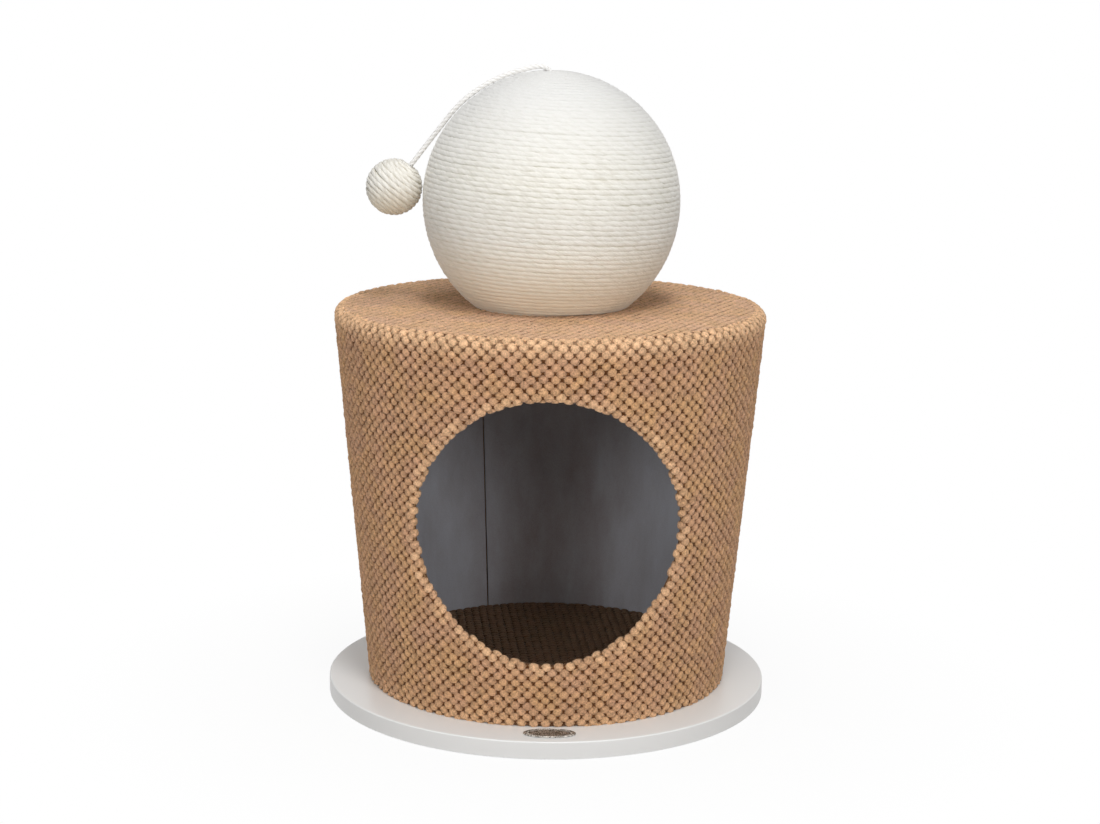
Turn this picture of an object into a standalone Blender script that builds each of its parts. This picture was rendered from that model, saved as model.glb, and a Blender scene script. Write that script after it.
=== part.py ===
"""Cat cave, in metres and with +Z up.

A conical den covered in nubbed plush stands on a round lacquered board. A hollow ball wound
with rope is bolted on its top, and a small rope-wound toy hangs from the ball's pole on a cord.
The origin is the middle of the board's underside, and the doorway faces -Y.
"""

import math

import bmesh
import bpy
from mathutils import Vector

# Fits and fineness
CLEARANCE = 0.0003
MERGE_DISTANCE = 0.00001
WALL_STEPS = 48
BALL_STEPS = 24
SMALL_STEPS = 16
ROUND_STEPS = 3
EDGE_STEPS = 2
DOORWAY_STEPS = 48
BADGE_STEPS = 32
HEXAGON_STEPS = 6
BALL_SHELL_STEPS = 4
ROPE_ROUND_STEPS = 1
CORD_ROUND_STEPS = 2
SMOOTH_BELOW = math.radians(35.0)
PIVOT_SIZE = 0.02

# Base board. The ledge is its free edge around the cave's foot.
BOARD_LEDGE = 0.0363
BOARD_THICKNESS = 0.016
BOARD_EDGE_ROUND = 0.0015

# Cave: outer sizes over the plush
CAVE_FOOT_DIAMETER = 0.3274
CAVE_RIM_DIAMETER = 0.3894
CAVE_HEIGHT = 0.3426
RIM_INSIDE_ROUND = 0.006
RIM_SEAM_INSET = 0.002

# Oval doorway: the sill is measured from the board up, the lintel from the cave's top down
DOORWAY_WIDTH = 0.222
DOORWAY_SILL = 0.0576
DOORWAY_LINTEL = 0.0542

# Cave: layers
PLUSH_THICKNESS = 0.003
WALL_THICKNESS = 0.0042
WALL_EDGE_CHAMFER = 0.001
LINING_THICKNESS = 0.0012
LINING_SEAM_WIDTH = 0.0008
LINING_SEAM_ANGLE = math.radians(22.0)
FLOOR_BOARD_THICKNESS = 0.015
TOP_BOARD_THICKNESS = 0.015
TOP_PAD_THICKNESS = 0.006

# Screws that hold the base board, from below
SCREW_COUNT = 4
SCREW_CIRCLE_DIAMETER = 0.220
SCREW_LENGTH = 0.028
SCREW_SHANK_DIAMETER = 0.004
SCREW_HEAD_DIAMETER = 0.008
SCREW_HEAD_DEPTH = 0.0024
SCREW_POINT_LENGTH = 0.003
SCREW_RECESS = 0.0005

# Staples that hold the wall on its two boards
STAPLE_COUNT = 6
STAPLE_CROWN = 0.010
STAPLE_LEG = 0.012
STAPLE_WIRE_THICKNESS = 0.0007
STAPLE_WIRE_WIDTH = 0.0012
STAPLE_SINK = 0.0002

# Blank oval plate on the board
BADGE_LENGTH = 0.045
BADGE_WIDTH = 0.021
BADGE_THICKNESS = 0.0012
BADGE_RIM = 0.0022
BADGE_FACE_DEPTH = 0.0004
BADGE_OFFSET = 0.0034
BADGE_GAP = 0.0058
BADGE_PIN_DIAMETER = 0.002
BADGE_PIN_LENGTH = 0.005
BADGE_PIN_SPACING = 0.026

# Scratching ball. The real rope is 4.5 mm thick and has about 64 turns. Each turn here stands
# for two or three of those.
BALL_DIAMETER = 0.2298
BALL_FOOT_DIAMETER = 0.1352
BALL_ROPE_DIAMETER = 0.0104
BALL_POLE_HOLE_DIAMETER = 0.0111
BALL_POINTS_PER_TURN = 20
ROPE_GAP = 0.00045
BALL_WALL = 0.004
BALL_DISC_THICKNESS = 0.015

# Bolt that holds the ball
BOLT_DIAMETER = 0.008
BOLT_LENGTH = 0.045
BOLT_HEAD_FLATS = 0.013
BOLT_HEAD_HEIGHT = 0.0053
BOLT_HOLE_DIAMETER = 0.009
WASHER_DIAMETER = 0.024
WASHER_THICKNESS = 0.002
NUT_FLANGE_DIAMETER = 0.022
NUT_FLANGE_THICKNESS = 0.0016
NUT_BARREL_DIAMETER = 0.0104
NUT_BARREL_LENGTH = 0.010

# Toy. The real rope is 4.3 mm thick and has about 16 turns.
TOY_DIAMETER = 0.0508
TOY_ROPE_DIAMETER = 0.0054
TOY_POLE_HOLE_DIAMETER = 0.0065
TOY_POINTS_PER_TURN = 14
TOY_BORE_DEPTH = 0.008

# Cord
CORD_DIAMETER = 0.0045
CORD_HOLE_DIAMETER = 0.0053
KNOT_DIAMETER = 0.010
CORD_LEAVES_BALL_ANGLE = math.radians(37.6)
CORD_DOME_ANGLES = (math.radians(88.0), math.radians(60.0), math.radians(30.0))

# The cord's route, chosen by hand: up from the knot, over the ball, and down to the toy
LAY_ROUTE = (
    (0.0, 0.0, 0.5518),
    (0.0, 0.0, 0.5555),
    (-0.0003, 0.0, 0.5592),
    (-0.0012, 0.0, 0.5627),
    (-0.0034, 0.0, 0.5660),
    (-0.0068, 0.0, 0.5686),
    (-0.0112, 0.0, 0.5697),
    (-0.0165, 0.0, 0.5692),
    (-0.0225, 0.0, 0.5677),
    (-0.0300, 0.0, 0.5656),
    (-0.0400, 0.0, 0.5624),
    (-0.0500, 0.0, 0.5582),
    (-0.0595, 0.0, 0.5532),
    (-0.0685, 0.0, 0.5473),
    (-0.0765, 0.0, 0.5410),
    (-0.0840, 0.0, 0.5340),
    (-0.0915, 0.0, 0.5255),
)
DROP_ROUTE = (
    (-0.09305, 0.0, 0.52346),
    (-0.10040, 0.0, 0.51400),
    (-0.10775, 0.0, 0.50455),
    (-0.11505, 0.0, 0.49505),
    (-0.12235, 0.0, 0.48547),
    (-0.12845, 0.0, 0.47752),
    (-0.13314, 0.0, 0.47141),
)

# Places that follow from the sizes
BOARD_DIAMETER = CAVE_FOOT_DIAMETER + 2 * BOARD_LEDGE
BADGE_DISTANCE = CAVE_FOOT_DIAMETER / 2 + BADGE_GAP + BADGE_WIDTH / 2
DOORWAY_HEIGHT = CAVE_HEIGHT - DOORWAY_SILL - DOORWAY_LINTEL
DOORWAY_CENTRE_HEIGHT = BOARD_THICKNESS + DOORWAY_SILL + DOORWAY_HEIGHT / 2

CAVE_FOOT = BOARD_THICKNESS + CLEARANCE
CAVE_TOP = BOARD_THICKNESS + CAVE_HEIGHT
TOP_COVER_BOTTOM = CAVE_TOP - PLUSH_THICKNESS
PAD_TOP = TOP_COVER_BOTTOM - CLEARANCE
PAD_BOTTOM = PAD_TOP - TOP_PAD_THICKNESS
WALL_TOP = PAD_BOTTOM - CLEARANCE
TOP_BOARD_BOTTOM = WALL_TOP - TOP_BOARD_THICKNESS
FLOOR_BOARD_TOP = CAVE_FOOT + FLOOR_BOARD_THICKNESS
FLOOR_COVER_BOTTOM = FLOOR_BOARD_TOP + CLEARANCE
FLOOR_COVER_TOP = FLOOR_COVER_BOTTOM + PLUSH_THICKNESS

WALL_SLOPE = (CAVE_RIM_DIAMETER - CAVE_FOOT_DIAMETER) / 2 / (CAVE_TOP - CAVE_FOOT)
WALL_LEAN = math.atan(WALL_SLOPE)
WALL_OUTSIDE = PLUSH_THICKNESS + CLEARANCE
WALL_INSIDE = WALL_OUTSIDE + WALL_THICKNESS
LINING_OUTSIDE = WALL_INSIDE + CLEARANCE
LINING_INSIDE = LINING_OUTSIDE + LINING_THICKNESS

BALL_RADIUS = BALL_DIAMETER / 2
BALL_FOOT = CAVE_TOP + CLEARANCE
BALL_FOOT_DEPTH = math.sqrt(BALL_RADIUS ** 2 - (BALL_FOOT_DIAMETER / 2) ** 2)
BALL_CENTRE = BALL_FOOT + BALL_FOOT_DEPTH
BALL_ROPE_RADIUS = BALL_RADIUS - BALL_ROPE_DIAMETER / 2
BALL_SHELL_RADIUS = (
    BALL_ROPE_RADIUS * math.cos(math.pi / BALL_POINTS_PER_TURN) - BALL_ROPE_DIAMETER / 2 - CLEARANCE
)
BALL_INNER_RADIUS = BALL_SHELL_RADIUS - BALL_WALL
BALL_DISC_TOP = BALL_FOOT + BALL_DISC_THICKNESS

CORD_ON_BALL_RADIUS = BALL_RADIUS + CLEARANCE + CORD_DIAMETER / 2
SWIVEL_PLACE = Vector((0.0, 0.0, BALL_CENTRE + BALL_RADIUS))
HINGE_PLACE = Vector((
    -CORD_ON_BALL_RADIUS * math.cos(CORD_LEAVES_BALL_ANGLE),
    0.0,
    BALL_CENTRE + CORD_ON_BALL_RADIUS * math.sin(CORD_LEAVES_BALL_ANGLE),
))
DROP_DIRECTION = Vector((-math.sin(CORD_LEAVES_BALL_ANGLE), 0.0, -math.cos(CORD_LEAVES_BALL_ANGLE)))

TOY_RADIUS = TOY_DIAMETER / 2
TOY_DROP = math.sqrt((BALL_RADIUS + CLEARANCE + TOY_RADIUS) ** 2 - CORD_ON_BALL_RADIUS ** 2)
TOY_CENTRE = HINGE_PLACE + TOY_DROP * DROP_DIRECTION
TOY_ROPE_RADIUS = TOY_RADIUS - TOY_ROPE_DIAMETER / 2
TOY_CORE_RADIUS = (
    TOY_ROPE_RADIUS * math.cos(math.pi / TOY_POINTS_PER_TURN) - TOY_ROPE_DIAMETER / 2 - CLEARANCE
)


def linear(hex_colour):
    """Turn an sRGB hex colour into Blender's linear RGBA."""
    channels = [int(hex_colour[start:start + 2], 16) / 255 for start in (1, 3, 5)]
    return [c / 12.92 if c <= 0.04045 else ((c + 0.055) / 1.055) ** 2.4 for c in channels] + [1.0]


def material(name, hex_colour, roughness, metallic=0.0):
    made = bpy.data.materials.new(name)
    made.use_nodes = True
    shader = made.node_tree.nodes["Principled BSDF"]
    shader.inputs["Base Color"].default_value = linear(hex_colour)
    shader.inputs["Roughness"].default_value = roughness
    shader.inputs["Metallic"].default_value = metallic
    made.diffuse_color = linear(hex_colour)
    return made


def wall_radius(height, depth=0.0):
    """Radius of the conical wall at a height, at a depth square to the plush's outer face."""
    return CAVE_FOOT_DIAMETER / 2 + WALL_SLOPE * (height - CAVE_FOOT) - depth / math.cos(WALL_LEAN)


RIM_CENTRE_HEIGHT = TOP_COVER_BOTTOM - RIM_INSIDE_ROUND
RIM_CENTRE_RADIUS = wall_radius(RIM_CENTRE_HEIGHT, PLUSH_THICKNESS + RIM_INSIDE_ROUND)
RIM_SEAM_RADIUS = RIM_CENTRE_RADIUS - RIM_SEAM_INSET


def rim_arc(radius):
    """Points around the rim, from its top down to where it meets the wall's slope."""
    points = []
    for step in range(ROUND_STEPS + 1):
        angle = math.pi / 2 - (math.pi / 2 + WALL_LEAN) * step / ROUND_STEPS
        points.append((
            RIM_CENTRE_RADIUS + radius * math.cos(angle),
            RIM_CENTRE_HEIGHT + radius * math.sin(angle),
        ))
    return points


def inside_rim(height):
    """Radius of the space under the plush at a height near the rim, less a clearance."""
    above = height - RIM_CENTRE_HEIGHT
    if above <= 0.0:
        return wall_radius(height, WALL_OUTSIDE)
    round_radius = RIM_INSIDE_ROUND - CLEARANCE
    return RIM_CENTRE_RADIUS + math.sqrt(max(round_radius ** 2 - above ** 2, 0.0))


def add_object(name, data, collection):
    made = bpy.data.objects.new(name, data)
    collection.objects.link(made)
    return made


def turned(name, outline, collection, steps=WALL_STEPS, closed=False):
    """Turn (radius, height) points, listed down the outer side, about the Z axis."""
    shape = bmesh.new()
    corners = [shape.verts.new((radius, 0.0, height)) for radius, height in outline]
    for corner, following in zip(corners, corners[1:]):
        shape.edges.new((corner, following))
    if closed:
        shape.edges.new((corners[-1], corners[0]))
    mesh = bpy.data.meshes.new(name)
    shape.to_mesh(mesh)
    shape.free()
    made = add_object(name, mesh, collection)
    turn = made.modifiers.new("Turn", "SCREW")
    turn.steps = turn.render_steps = steps
    turn.use_merge_vertices = True
    turn.merge_threshold = MERGE_DISTANCE
    return made


def cylinder(name, radii, bottom, top, collection, steps=SMALL_STEPS):
    """An upright cylinder, round or oval, with (x, y) radii."""
    shape = bmesh.new()
    bmesh.ops.create_cone(
        shape, cap_ends=True, segments=steps, radius1=1.0, radius2=1.0, depth=top - bottom,
    )
    bmesh.ops.scale(shape, vec=(radii[0], radii[1], 1.0), verts=shape.verts)
    bmesh.ops.translate(shape, vec=(0.0, 0.0, (bottom + top) / 2), verts=shape.verts)
    mesh = bpy.data.meshes.new(name)
    shape.to_mesh(mesh)
    shape.free()
    return add_object(name, mesh, collection)


def sphere(name, radius, collection):
    shape = bmesh.new()
    bmesh.ops.create_uvsphere(shape, u_segments=SMALL_STEPS, v_segments=SMALL_STEPS // 2, radius=radius)
    mesh = bpy.data.meshes.new(name)
    shape.to_mesh(mesh)
    shape.free()
    return add_object(name, mesh, collection)


def combine(target, other, operation="DIFFERENCE"):
    join = target.modifiers.new(other.name, "BOOLEAN")
    join.operation = operation
    join.solver = "EXACT"
    join.object = other


def evaluated_mesh(made):
    """The object's mesh with its modifiers, or a curve's mesh with its caps welded."""
    bpy.context.view_layer.update()
    mesh = bpy.data.meshes.new_from_object(made.evaluated_get(bpy.context.evaluated_depsgraph_get()))
    shape = bmesh.new()
    shape.from_mesh(mesh)
    bmesh.ops.remove_doubles(shape, verts=shape.verts, dist=MERGE_DISTANCE)
    shape.to_mesh(mesh)
    shape.free()
    return mesh


def settle(made, finish):
    """Apply the modifiers, give the material and shade the round faces smooth."""
    mesh = evaluated_mesh(made)
    made.modifiers.clear()
    made.data = mesh
    mesh.materials.clear()
    mesh.materials.append(finish)
    mesh.shade_smooth()
    mesh.set_sharp_from_angle(angle=SMOOTH_BELOW)
    return made


def tube(name, points, diameter, round_steps, collection, twist="MINIMUM", shares=None):
    """A curve tube through the points. Shares give each point's part of the full radius."""
    curve = bpy.data.curves.new(name, "CURVE")
    curve.dimensions = "3D"
    curve.twist_mode = twist
    curve.bevel_depth = diameter / 2
    curve.bevel_resolution = round_steps
    curve.use_fill_caps = True
    spline = curve.splines.new("POLY")
    spline.points.add(len(points) - 1)
    for index, place in enumerate(points):
        spline.points[index].co = (*place, 1.0)
        spline.points[index].radius = shares[index] if shares else 1.0
    return add_object(name, curve, collection)


def smooth_route(places, per_span=2):
    """Points of a smooth curve (Catmull-Rom) through the given places."""
    knots = [Vector(place) for place in places]
    knots = [2 * knots[0] - knots[1], *knots, 2 * knots[-1] - knots[-2]]
    points = []
    for before, start, end, after in zip(knots, knots[1:], knots[2:], knots[3:]):
        for step in range(per_span):
            t = step / per_span
            points.append(0.5 * (
                2 * start
                + (end - before) * t
                + (2 * before - 5 * start + 4 * end - after) * t ** 2
                + (3 * start - before - 3 * end + after) * t ** 3
            ))
    return points + [knots[-2]]


def wound_points(rope_radius, rope_diameter, first_angle, last_angle, per_turn):
    """Centre line of a rope wound on a ball from pole to foot, one rope beside the next."""
    arc = rope_radius * (last_angle - first_angle)
    turns = int(arc / (rope_diameter + ROPE_GAP))
    points = []
    for step in range(turns * per_turn + 1):
        share = step / (turns * per_turn)
        angle = first_angle + (last_angle - first_angle) * share
        around = 2 * math.pi * turns * share
        points.append(rope_radius * Vector((
            math.sin(angle) * math.cos(around),
            math.sin(angle) * math.sin(around),
            math.cos(angle),
        )))
    first, last = points[0], points[-1]
    inner = [
        point for point in points[1:-1]
        if min((point - first).length, (point - last).length) > rope_diameter
    ]
    return [first, *inner, last]


def least_gap(points, diameter, per_turn):
    """Least distance between the surfaces of two turns, measured on the centre line's points."""
    least = math.inf
    for index, point in enumerate(points):
        for other in points[index + per_turn // 2:]:
            least = min(least, (point - other).length - diameter)
    return least


def make_cutters(collection):
    """The doorway, the hem's and the frame's larger ovals, and the lining's seam."""
    cutters = {}
    for name, margin in (
        ("doorway_cutter", 0.0),
        ("hem_cutter", PLUSH_THICKNESS),
        ("frame_cutter", PLUSH_THICKNESS + CLEARANCE),
    ):
        radii = (DOORWAY_WIDTH / 2 + margin, DOORWAY_HEIGHT / 2 + margin)
        oval = cylinder(name, radii, 0.0, CAVE_RIM_DIAMETER, collection, DOORWAY_STEPS)
        oval.rotation_euler = (math.pi / 2, 0.0, 0.0)
        oval.location = (0.0, 0.0, DOORWAY_CENTRE_HEIGHT)
        cutters[name] = oval
    seam = bmesh.new()
    bmesh.ops.create_cube(seam, size=1.0)
    reach = CAVE_RIM_DIAMETER / 2
    bmesh.ops.scale(seam, vec=(LINING_SEAM_WIDTH, reach, 2 * CAVE_HEIGHT), verts=seam.verts)
    bmesh.ops.translate(seam, vec=(0.0, reach, CAVE_HEIGHT), verts=seam.verts)
    mesh = bpy.data.meshes.new("seam_cutter")
    seam.to_mesh(mesh)
    seam.free()
    cutters["seam_cutter"] = add_object("seam_cutter", mesh, collection)
    cutters["seam_cutter"].rotation_euler = (0.0, 0.0, LINING_SEAM_ANGLE)
    return cutters


def staple_mesh(name, margin, breakout, collection):
    """A U of flat wire with its legs along +Y. A margin and a breakout make it a cutter."""
    half = STAPLE_CROWN / 2 + margin
    leg = STAPLE_LEG + margin
    inner = half - STAPLE_WIRE_THICKNESS - 2 * margin
    outline = [
        (-half, -margin - breakout), (half, -margin - breakout), (half, leg), (inner, leg),
        (inner, STAPLE_WIRE_THICKNESS + margin), (-inner, STAPLE_WIRE_THICKNESS + margin),
        (-inner, leg), (-half, leg),
    ]
    curve = bpy.data.curves.new(name, "CURVE")
    curve.dimensions = "2D"
    curve.fill_mode = "BOTH"
    curve.extrude = STAPLE_WIRE_WIDTH / 2 + margin
    spline = curve.splines.new("POLY")
    spline.points.add(len(outline) - 1)
    for point, (x, y) in zip(spline.points, outline):
        point.co = (x, y, 0.0, 1.0)
    spline.use_cyclic_u = True
    drawn = add_object(name, curve, collection)
    mesh = evaluated_mesh(drawn)
    bpy.data.objects.remove(drawn)
    return mesh


def make_staples(name, height, parts, cutting, finish):
    """A ring of staples at a height, and their cutters."""
    mesh = staple_mesh(name, 0.0, 0.0, parts)
    mesh.materials.append(finish)
    slot = staple_mesh(name + "_slot", CLEARANCE, 2 * STAPLE_SINK + CLEARANCE, cutting)
    radius = wall_radius(height, WALL_OUTSIDE) - STAPLE_SINK
    cutters = []
    for index in range(STAPLE_COUNT):
        around = 2 * math.pi * (index + 0.5) / STAPLE_COUNT
        staple = add_object(f"{name}_{index + 1}", mesh, parts)
        cutter = add_object(f"{name}_slot_{index + 1}", slot, cutting)
        for made in (staple, cutter):
            made.location = (radius * math.cos(around), radius * math.sin(around), height)
            made.rotation_euler = (0.0, 0.0, around + math.pi / 2)
        cutters.append(cutter)
    return cutters


def screw_outline(margin, below):
    """A countersunk screw from its point down to its head, and further down for its cutter."""
    head = SCREW_HEAD_DIAMETER / 2 + margin
    shank = SCREW_SHANK_DIAMETER / 2 + margin
    outline = [
        (0.0, SCREW_LENGTH + margin),
        (shank, SCREW_LENGTH - SCREW_POINT_LENGTH + margin),
        (shank, SCREW_HEAD_DEPTH),
        (head, 0.0),
    ]
    if below:
        outline.append((head, -below))
    return outline + [(0.0, -below)]


def make_screws(parts, cutting, finish):
    """The screws up through the base board into the floor board, and their cutters."""
    first = settle(turned("base_screw", screw_outline(0.0, 0.0), parts, SMALL_STEPS), finish)
    hole = turned("screw_hole", screw_outline(CLEARANCE, 2 * SCREW_RECESS), cutting, SMALL_STEPS)
    mesh, hole_mesh = first.data, evaluated_mesh(hole)
    bpy.data.objects.remove(first)
    bpy.data.objects.remove(hole)
    cutters = []
    for index in range(SCREW_COUNT):
        around = 2 * math.pi * (index + 0.5) / SCREW_COUNT
        screw = add_object(f"base_screw_{index + 1}", mesh, parts)
        cutter = add_object(f"screw_hole_{index + 1}", hole_mesh, cutting)
        for made in (screw, cutter):
            made.location = (
                SCREW_CIRCLE_DIAMETER / 2 * math.cos(around),
                SCREW_CIRCLE_DIAMETER / 2 * math.sin(around),
                SCREW_RECESS,
            )
        cutters.append(cutter)
    return cutters


def make_badge(parts, cutting, finish):
    """The oval plate with its raised rim and two pins, and the pins' holes."""
    place = Vector((BADGE_OFFSET, -BADGE_DISTANCE, BOARD_THICKNESS + CLEARANCE))
    badge = cylinder("badge", (BADGE_LENGTH / 2, BADGE_WIDTH / 2), 0.0, BADGE_THICKNESS, parts, BADGE_STEPS)
    shape = bmesh.new()
    shape.from_mesh(badge.data)
    face = max(shape.faces, key=lambda one: one.calc_center_median().z)
    bmesh.ops.inset_region(shape, faces=[face], thickness=BADGE_RIM, use_even_offset=True)
    bmesh.ops.translate(shape, vec=(0.0, 0.0, -BADGE_FACE_DEPTH), verts=face.verts)
    shape.to_mesh(badge.data)
    shape.free()
    badge.location = place
    holes = []
    for side in (-1, 1):
        pin_radius = BADGE_PIN_DIAMETER / 2
        hole_radius = pin_radius + CLEARANCE
        pin = cylinder(
            f"badge_pin_{side}", (pin_radius, pin_radius),
            -BADGE_PIN_LENGTH, (BADGE_THICKNESS - BADGE_FACE_DEPTH) / 2, cutting,
        )
        hole = cylinder(
            f"badge_hole_{side}", (hole_radius, hole_radius),
            -BADGE_PIN_LENGTH - CLEARANCE, BADGE_THICKNESS, cutting,
        )
        for made in (pin, hole):
            made.location = place + Vector((side * BADGE_PIN_SPACING / 2, 0.0, 0.0))
        combine(badge, pin, "UNION")
        holes.append(hole)
    settle(badge, finish)
    return holes


def make_base_board(parts, holes, finish):
    edge = BOARD_DIAMETER / 2 - BOARD_EDGE_ROUND
    outline = [(0.0, BOARD_THICKNESS)]
    for middle, first_angle in ((BOARD_THICKNESS - BOARD_EDGE_ROUND, 90.0), (BOARD_EDGE_ROUND, 0.0)):
        for step in range(EDGE_STEPS + 1):
            angle = math.radians(first_angle - 90.0 * step / EDGE_STEPS)
            outline.append((
                edge + BOARD_EDGE_ROUND * math.cos(angle),
                middle + BOARD_EDGE_ROUND * math.sin(angle),
            ))
    outline.append((0.0, 0.0))
    board = turned("base_board", outline, parts)
    for hole in holes:
        combine(board, hole)
    settle(board, finish)


def disc_in_wall(name, bottom, top, depth, parts, hole_diameter=0.0):
    """A disc whose edge follows the cone, at a depth from the plush's face."""
    outline = [(wall_radius(top, depth), top), (wall_radius(bottom, depth), bottom)]
    inner = hole_diameter / 2
    return turned(name, [(inner, top), *outline, (inner, bottom)], parts, closed=inner > 0.0)


def make_wall(parts, cutters, staple_slots, finishes):
    """The conical board and its lining."""
    chamfer_foot = WALL_TOP - WALL_EDGE_CHAMFER
    shell = turned("wall_shell", [
        (wall_radius(WALL_TOP, WALL_OUTSIDE) - WALL_EDGE_CHAMFER, WALL_TOP),
        (wall_radius(chamfer_foot, WALL_OUTSIDE), chamfer_foot),
        (wall_radius(CAVE_FOOT, WALL_OUTSIDE), CAVE_FOOT),
        (wall_radius(CAVE_FOOT, WALL_INSIDE), CAVE_FOOT),
        (wall_radius(WALL_TOP, WALL_INSIDE), WALL_TOP),
    ], parts, closed=True)
    for cutter in (cutters["frame_cutter"], *staple_slots):
        combine(shell, cutter)
    settle(shell, finishes["fibreboard"])

    lining_foot = FLOOR_BOARD_TOP + CLEARANCE
    lining_top = TOP_BOARD_BOTTOM - CLEARANCE
    lining = turned("wall_lining", [
        (wall_radius(lining_top, LINING_OUTSIDE), lining_top),
        (wall_radius(lining_foot, LINING_OUTSIDE), lining_foot),
        (wall_radius(lining_foot, LINING_INSIDE), lining_foot),
        (wall_radius(lining_top, LINING_INSIDE), lining_top),
    ], parts, closed=True)
    combine(lining, cutters["frame_cutter"])
    combine(lining, cutters["seam_cutter"])
    settle(lining, finishes["lining"])


def make_wall_cover(parts, cutting, cutters, finish):
    """The plush: up the wall, over the rim, and turned in through the doorway as a hem."""
    hem = turned("hem", [
        (wall_radius(WALL_TOP, PLUSH_THICKNESS / 2), WALL_TOP),
        (wall_radius(CAVE_FOOT, PLUSH_THICKNESS / 2), CAVE_FOOT),
        (wall_radius(CAVE_FOOT, LINING_INSIDE), CAVE_FOOT),
        (wall_radius(WALL_TOP, LINING_INSIDE), WALL_TOP),
    ], cutting, closed=True)
    combine(hem, cutters["hem_cutter"], "INTERSECT")
    cover = turned("wall_cover", [
        (RIM_SEAM_RADIUS, CAVE_TOP),
        *rim_arc(RIM_INSIDE_ROUND + PLUSH_THICKNESS),
        (wall_radius(CAVE_FOOT), CAVE_FOOT),
        (wall_radius(CAVE_FOOT, PLUSH_THICKNESS), CAVE_FOOT),
        *reversed(rim_arc(RIM_INSIDE_ROUND)),
        (RIM_SEAM_RADIUS, TOP_COVER_BOTTOM),
    ], parts, closed=True)
    combine(cover, hem, "UNION")
    combine(cover, cutters["doorway_cutter"])
    settle(cover, finish)


def make_top(parts, staple_slots, finishes):
    """The top board, its wadding and its plush, each with the bolt's hole."""
    hole = BOLT_HOLE_DIAMETER / 2
    board = disc_in_wall(
        "top_board", TOP_BOARD_BOTTOM, WALL_TOP, LINING_OUTSIDE, parts, BOLT_HOLE_DIAMETER,
    )
    for cutter in staple_slots:
        combine(board, cutter)
    settle(board, finishes["plywood"])

    heights = [
        PAD_BOTTOM + (PAD_TOP - PAD_BOTTOM) * math.sin(math.pi / 2 * step / ROUND_STEPS)
        for step in range(ROUND_STEPS, -1, -1)
    ]
    edge = [(inside_rim(height), height) for height in heights]
    pad = turned("top_pad", [(hole, PAD_TOP), *edge, (hole, PAD_BOTTOM)], parts, closed=True)
    settle(pad, finishes["wadding"])

    cover = turned("top_cover", [
        (hole, CAVE_TOP),
        (RIM_SEAM_RADIUS - CLEARANCE, CAVE_TOP),
        (RIM_SEAM_RADIUS - CLEARANCE, TOP_COVER_BOTTOM),
        (hole, TOP_COVER_BOTTOM),
    ], parts, closed=True)
    settle(cover, finishes["plush"])


def make_floor(parts, cutters, finishes):
    board = disc_in_wall("floor_board", CAVE_FOOT, FLOOR_BOARD_TOP, LINING_OUTSIDE, parts)
    for cutter in cutters:
        combine(board, cutter)
    settle(board, finishes["plywood"])
    cover = disc_in_wall(
        "floor_cover", FLOOR_COVER_BOTTOM, FLOOR_COVER_TOP, LINING_INSIDE + CLEARANCE, parts,
    )
    settle(cover, finishes["plush"])


def ball_line(radius, heights):
    """Points of the ball's outline, or of one inside it, at the given heights."""
    return [(math.sqrt(radius ** 2 - (height - BALL_CENTRE) ** 2), height) for height in heights]


def ball_heights(top, bottom):
    """Heights at even turns down the ball's inner face."""
    first = math.asin((top - BALL_CENTRE) / BALL_INNER_RADIUS)
    last = math.asin((bottom - BALL_CENTRE) / BALL_INNER_RADIUS)
    angles = [first + (last - first) * step / BALL_SHELL_STEPS for step in range(BALL_SHELL_STEPS + 1)]
    return [BALL_CENTRE + BALL_INNER_RADIUS * math.sin(angle) for angle in angles]


def cord_hole_height(radius):
    """Height where the cord's hole meets a sphere about the ball's centre."""
    return BALL_CENTRE + math.sqrt(radius ** 2 - (CORD_HOLE_DIAMETER / 2) ** 2)


def make_ball_shells(parts, finishes):
    """The ball's two hollow halves and the wooden disc in its foot."""
    hole = CORD_HOLE_DIAMETER / 2
    joint = CLEARANCE / 2
    upper_heights = ball_heights(cord_hole_height(BALL_INNER_RADIUS), BALL_CENTRE + joint)[1:]
    upper = turned("ball_shell_upper", [
        (hole, cord_hole_height(BALL_SHELL_RADIUS)),
        *ball_line(BALL_SHELL_RADIUS, upper_heights),
        *reversed(ball_line(BALL_INNER_RADIUS, upper_heights)),
        (hole, cord_hole_height(BALL_INNER_RADIUS)),
    ], parts, BALL_STEPS, closed=True)
    settle(upper, finishes["moulded_plastic"])

    disc_heights = [BALL_DISC_TOP, (BALL_DISC_TOP + BALL_FOOT) / 2, BALL_FOOT]
    lower_heights = ball_heights(BALL_CENTRE - joint, BALL_DISC_TOP)[:-1] + disc_heights
    lower = turned("ball_shell_lower", [
        *ball_line(BALL_SHELL_RADIUS, lower_heights),
        *reversed(ball_line(BALL_INNER_RADIUS, lower_heights)),
    ], parts, BALL_STEPS, closed=True)
    settle(lower, finishes["moulded_plastic"])

    bore = NUT_BARREL_DIAMETER / 2 + CLEARANCE
    disc = turned("ball_base_disc", [
        (bore, BALL_DISC_TOP),
        *ball_line(BALL_INNER_RADIUS - CLEARANCE, disc_heights),
        (bore, BALL_FOOT),
    ], parts, BALL_STEPS, closed=True)
    settle(disc, finishes["plywood"])


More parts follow.
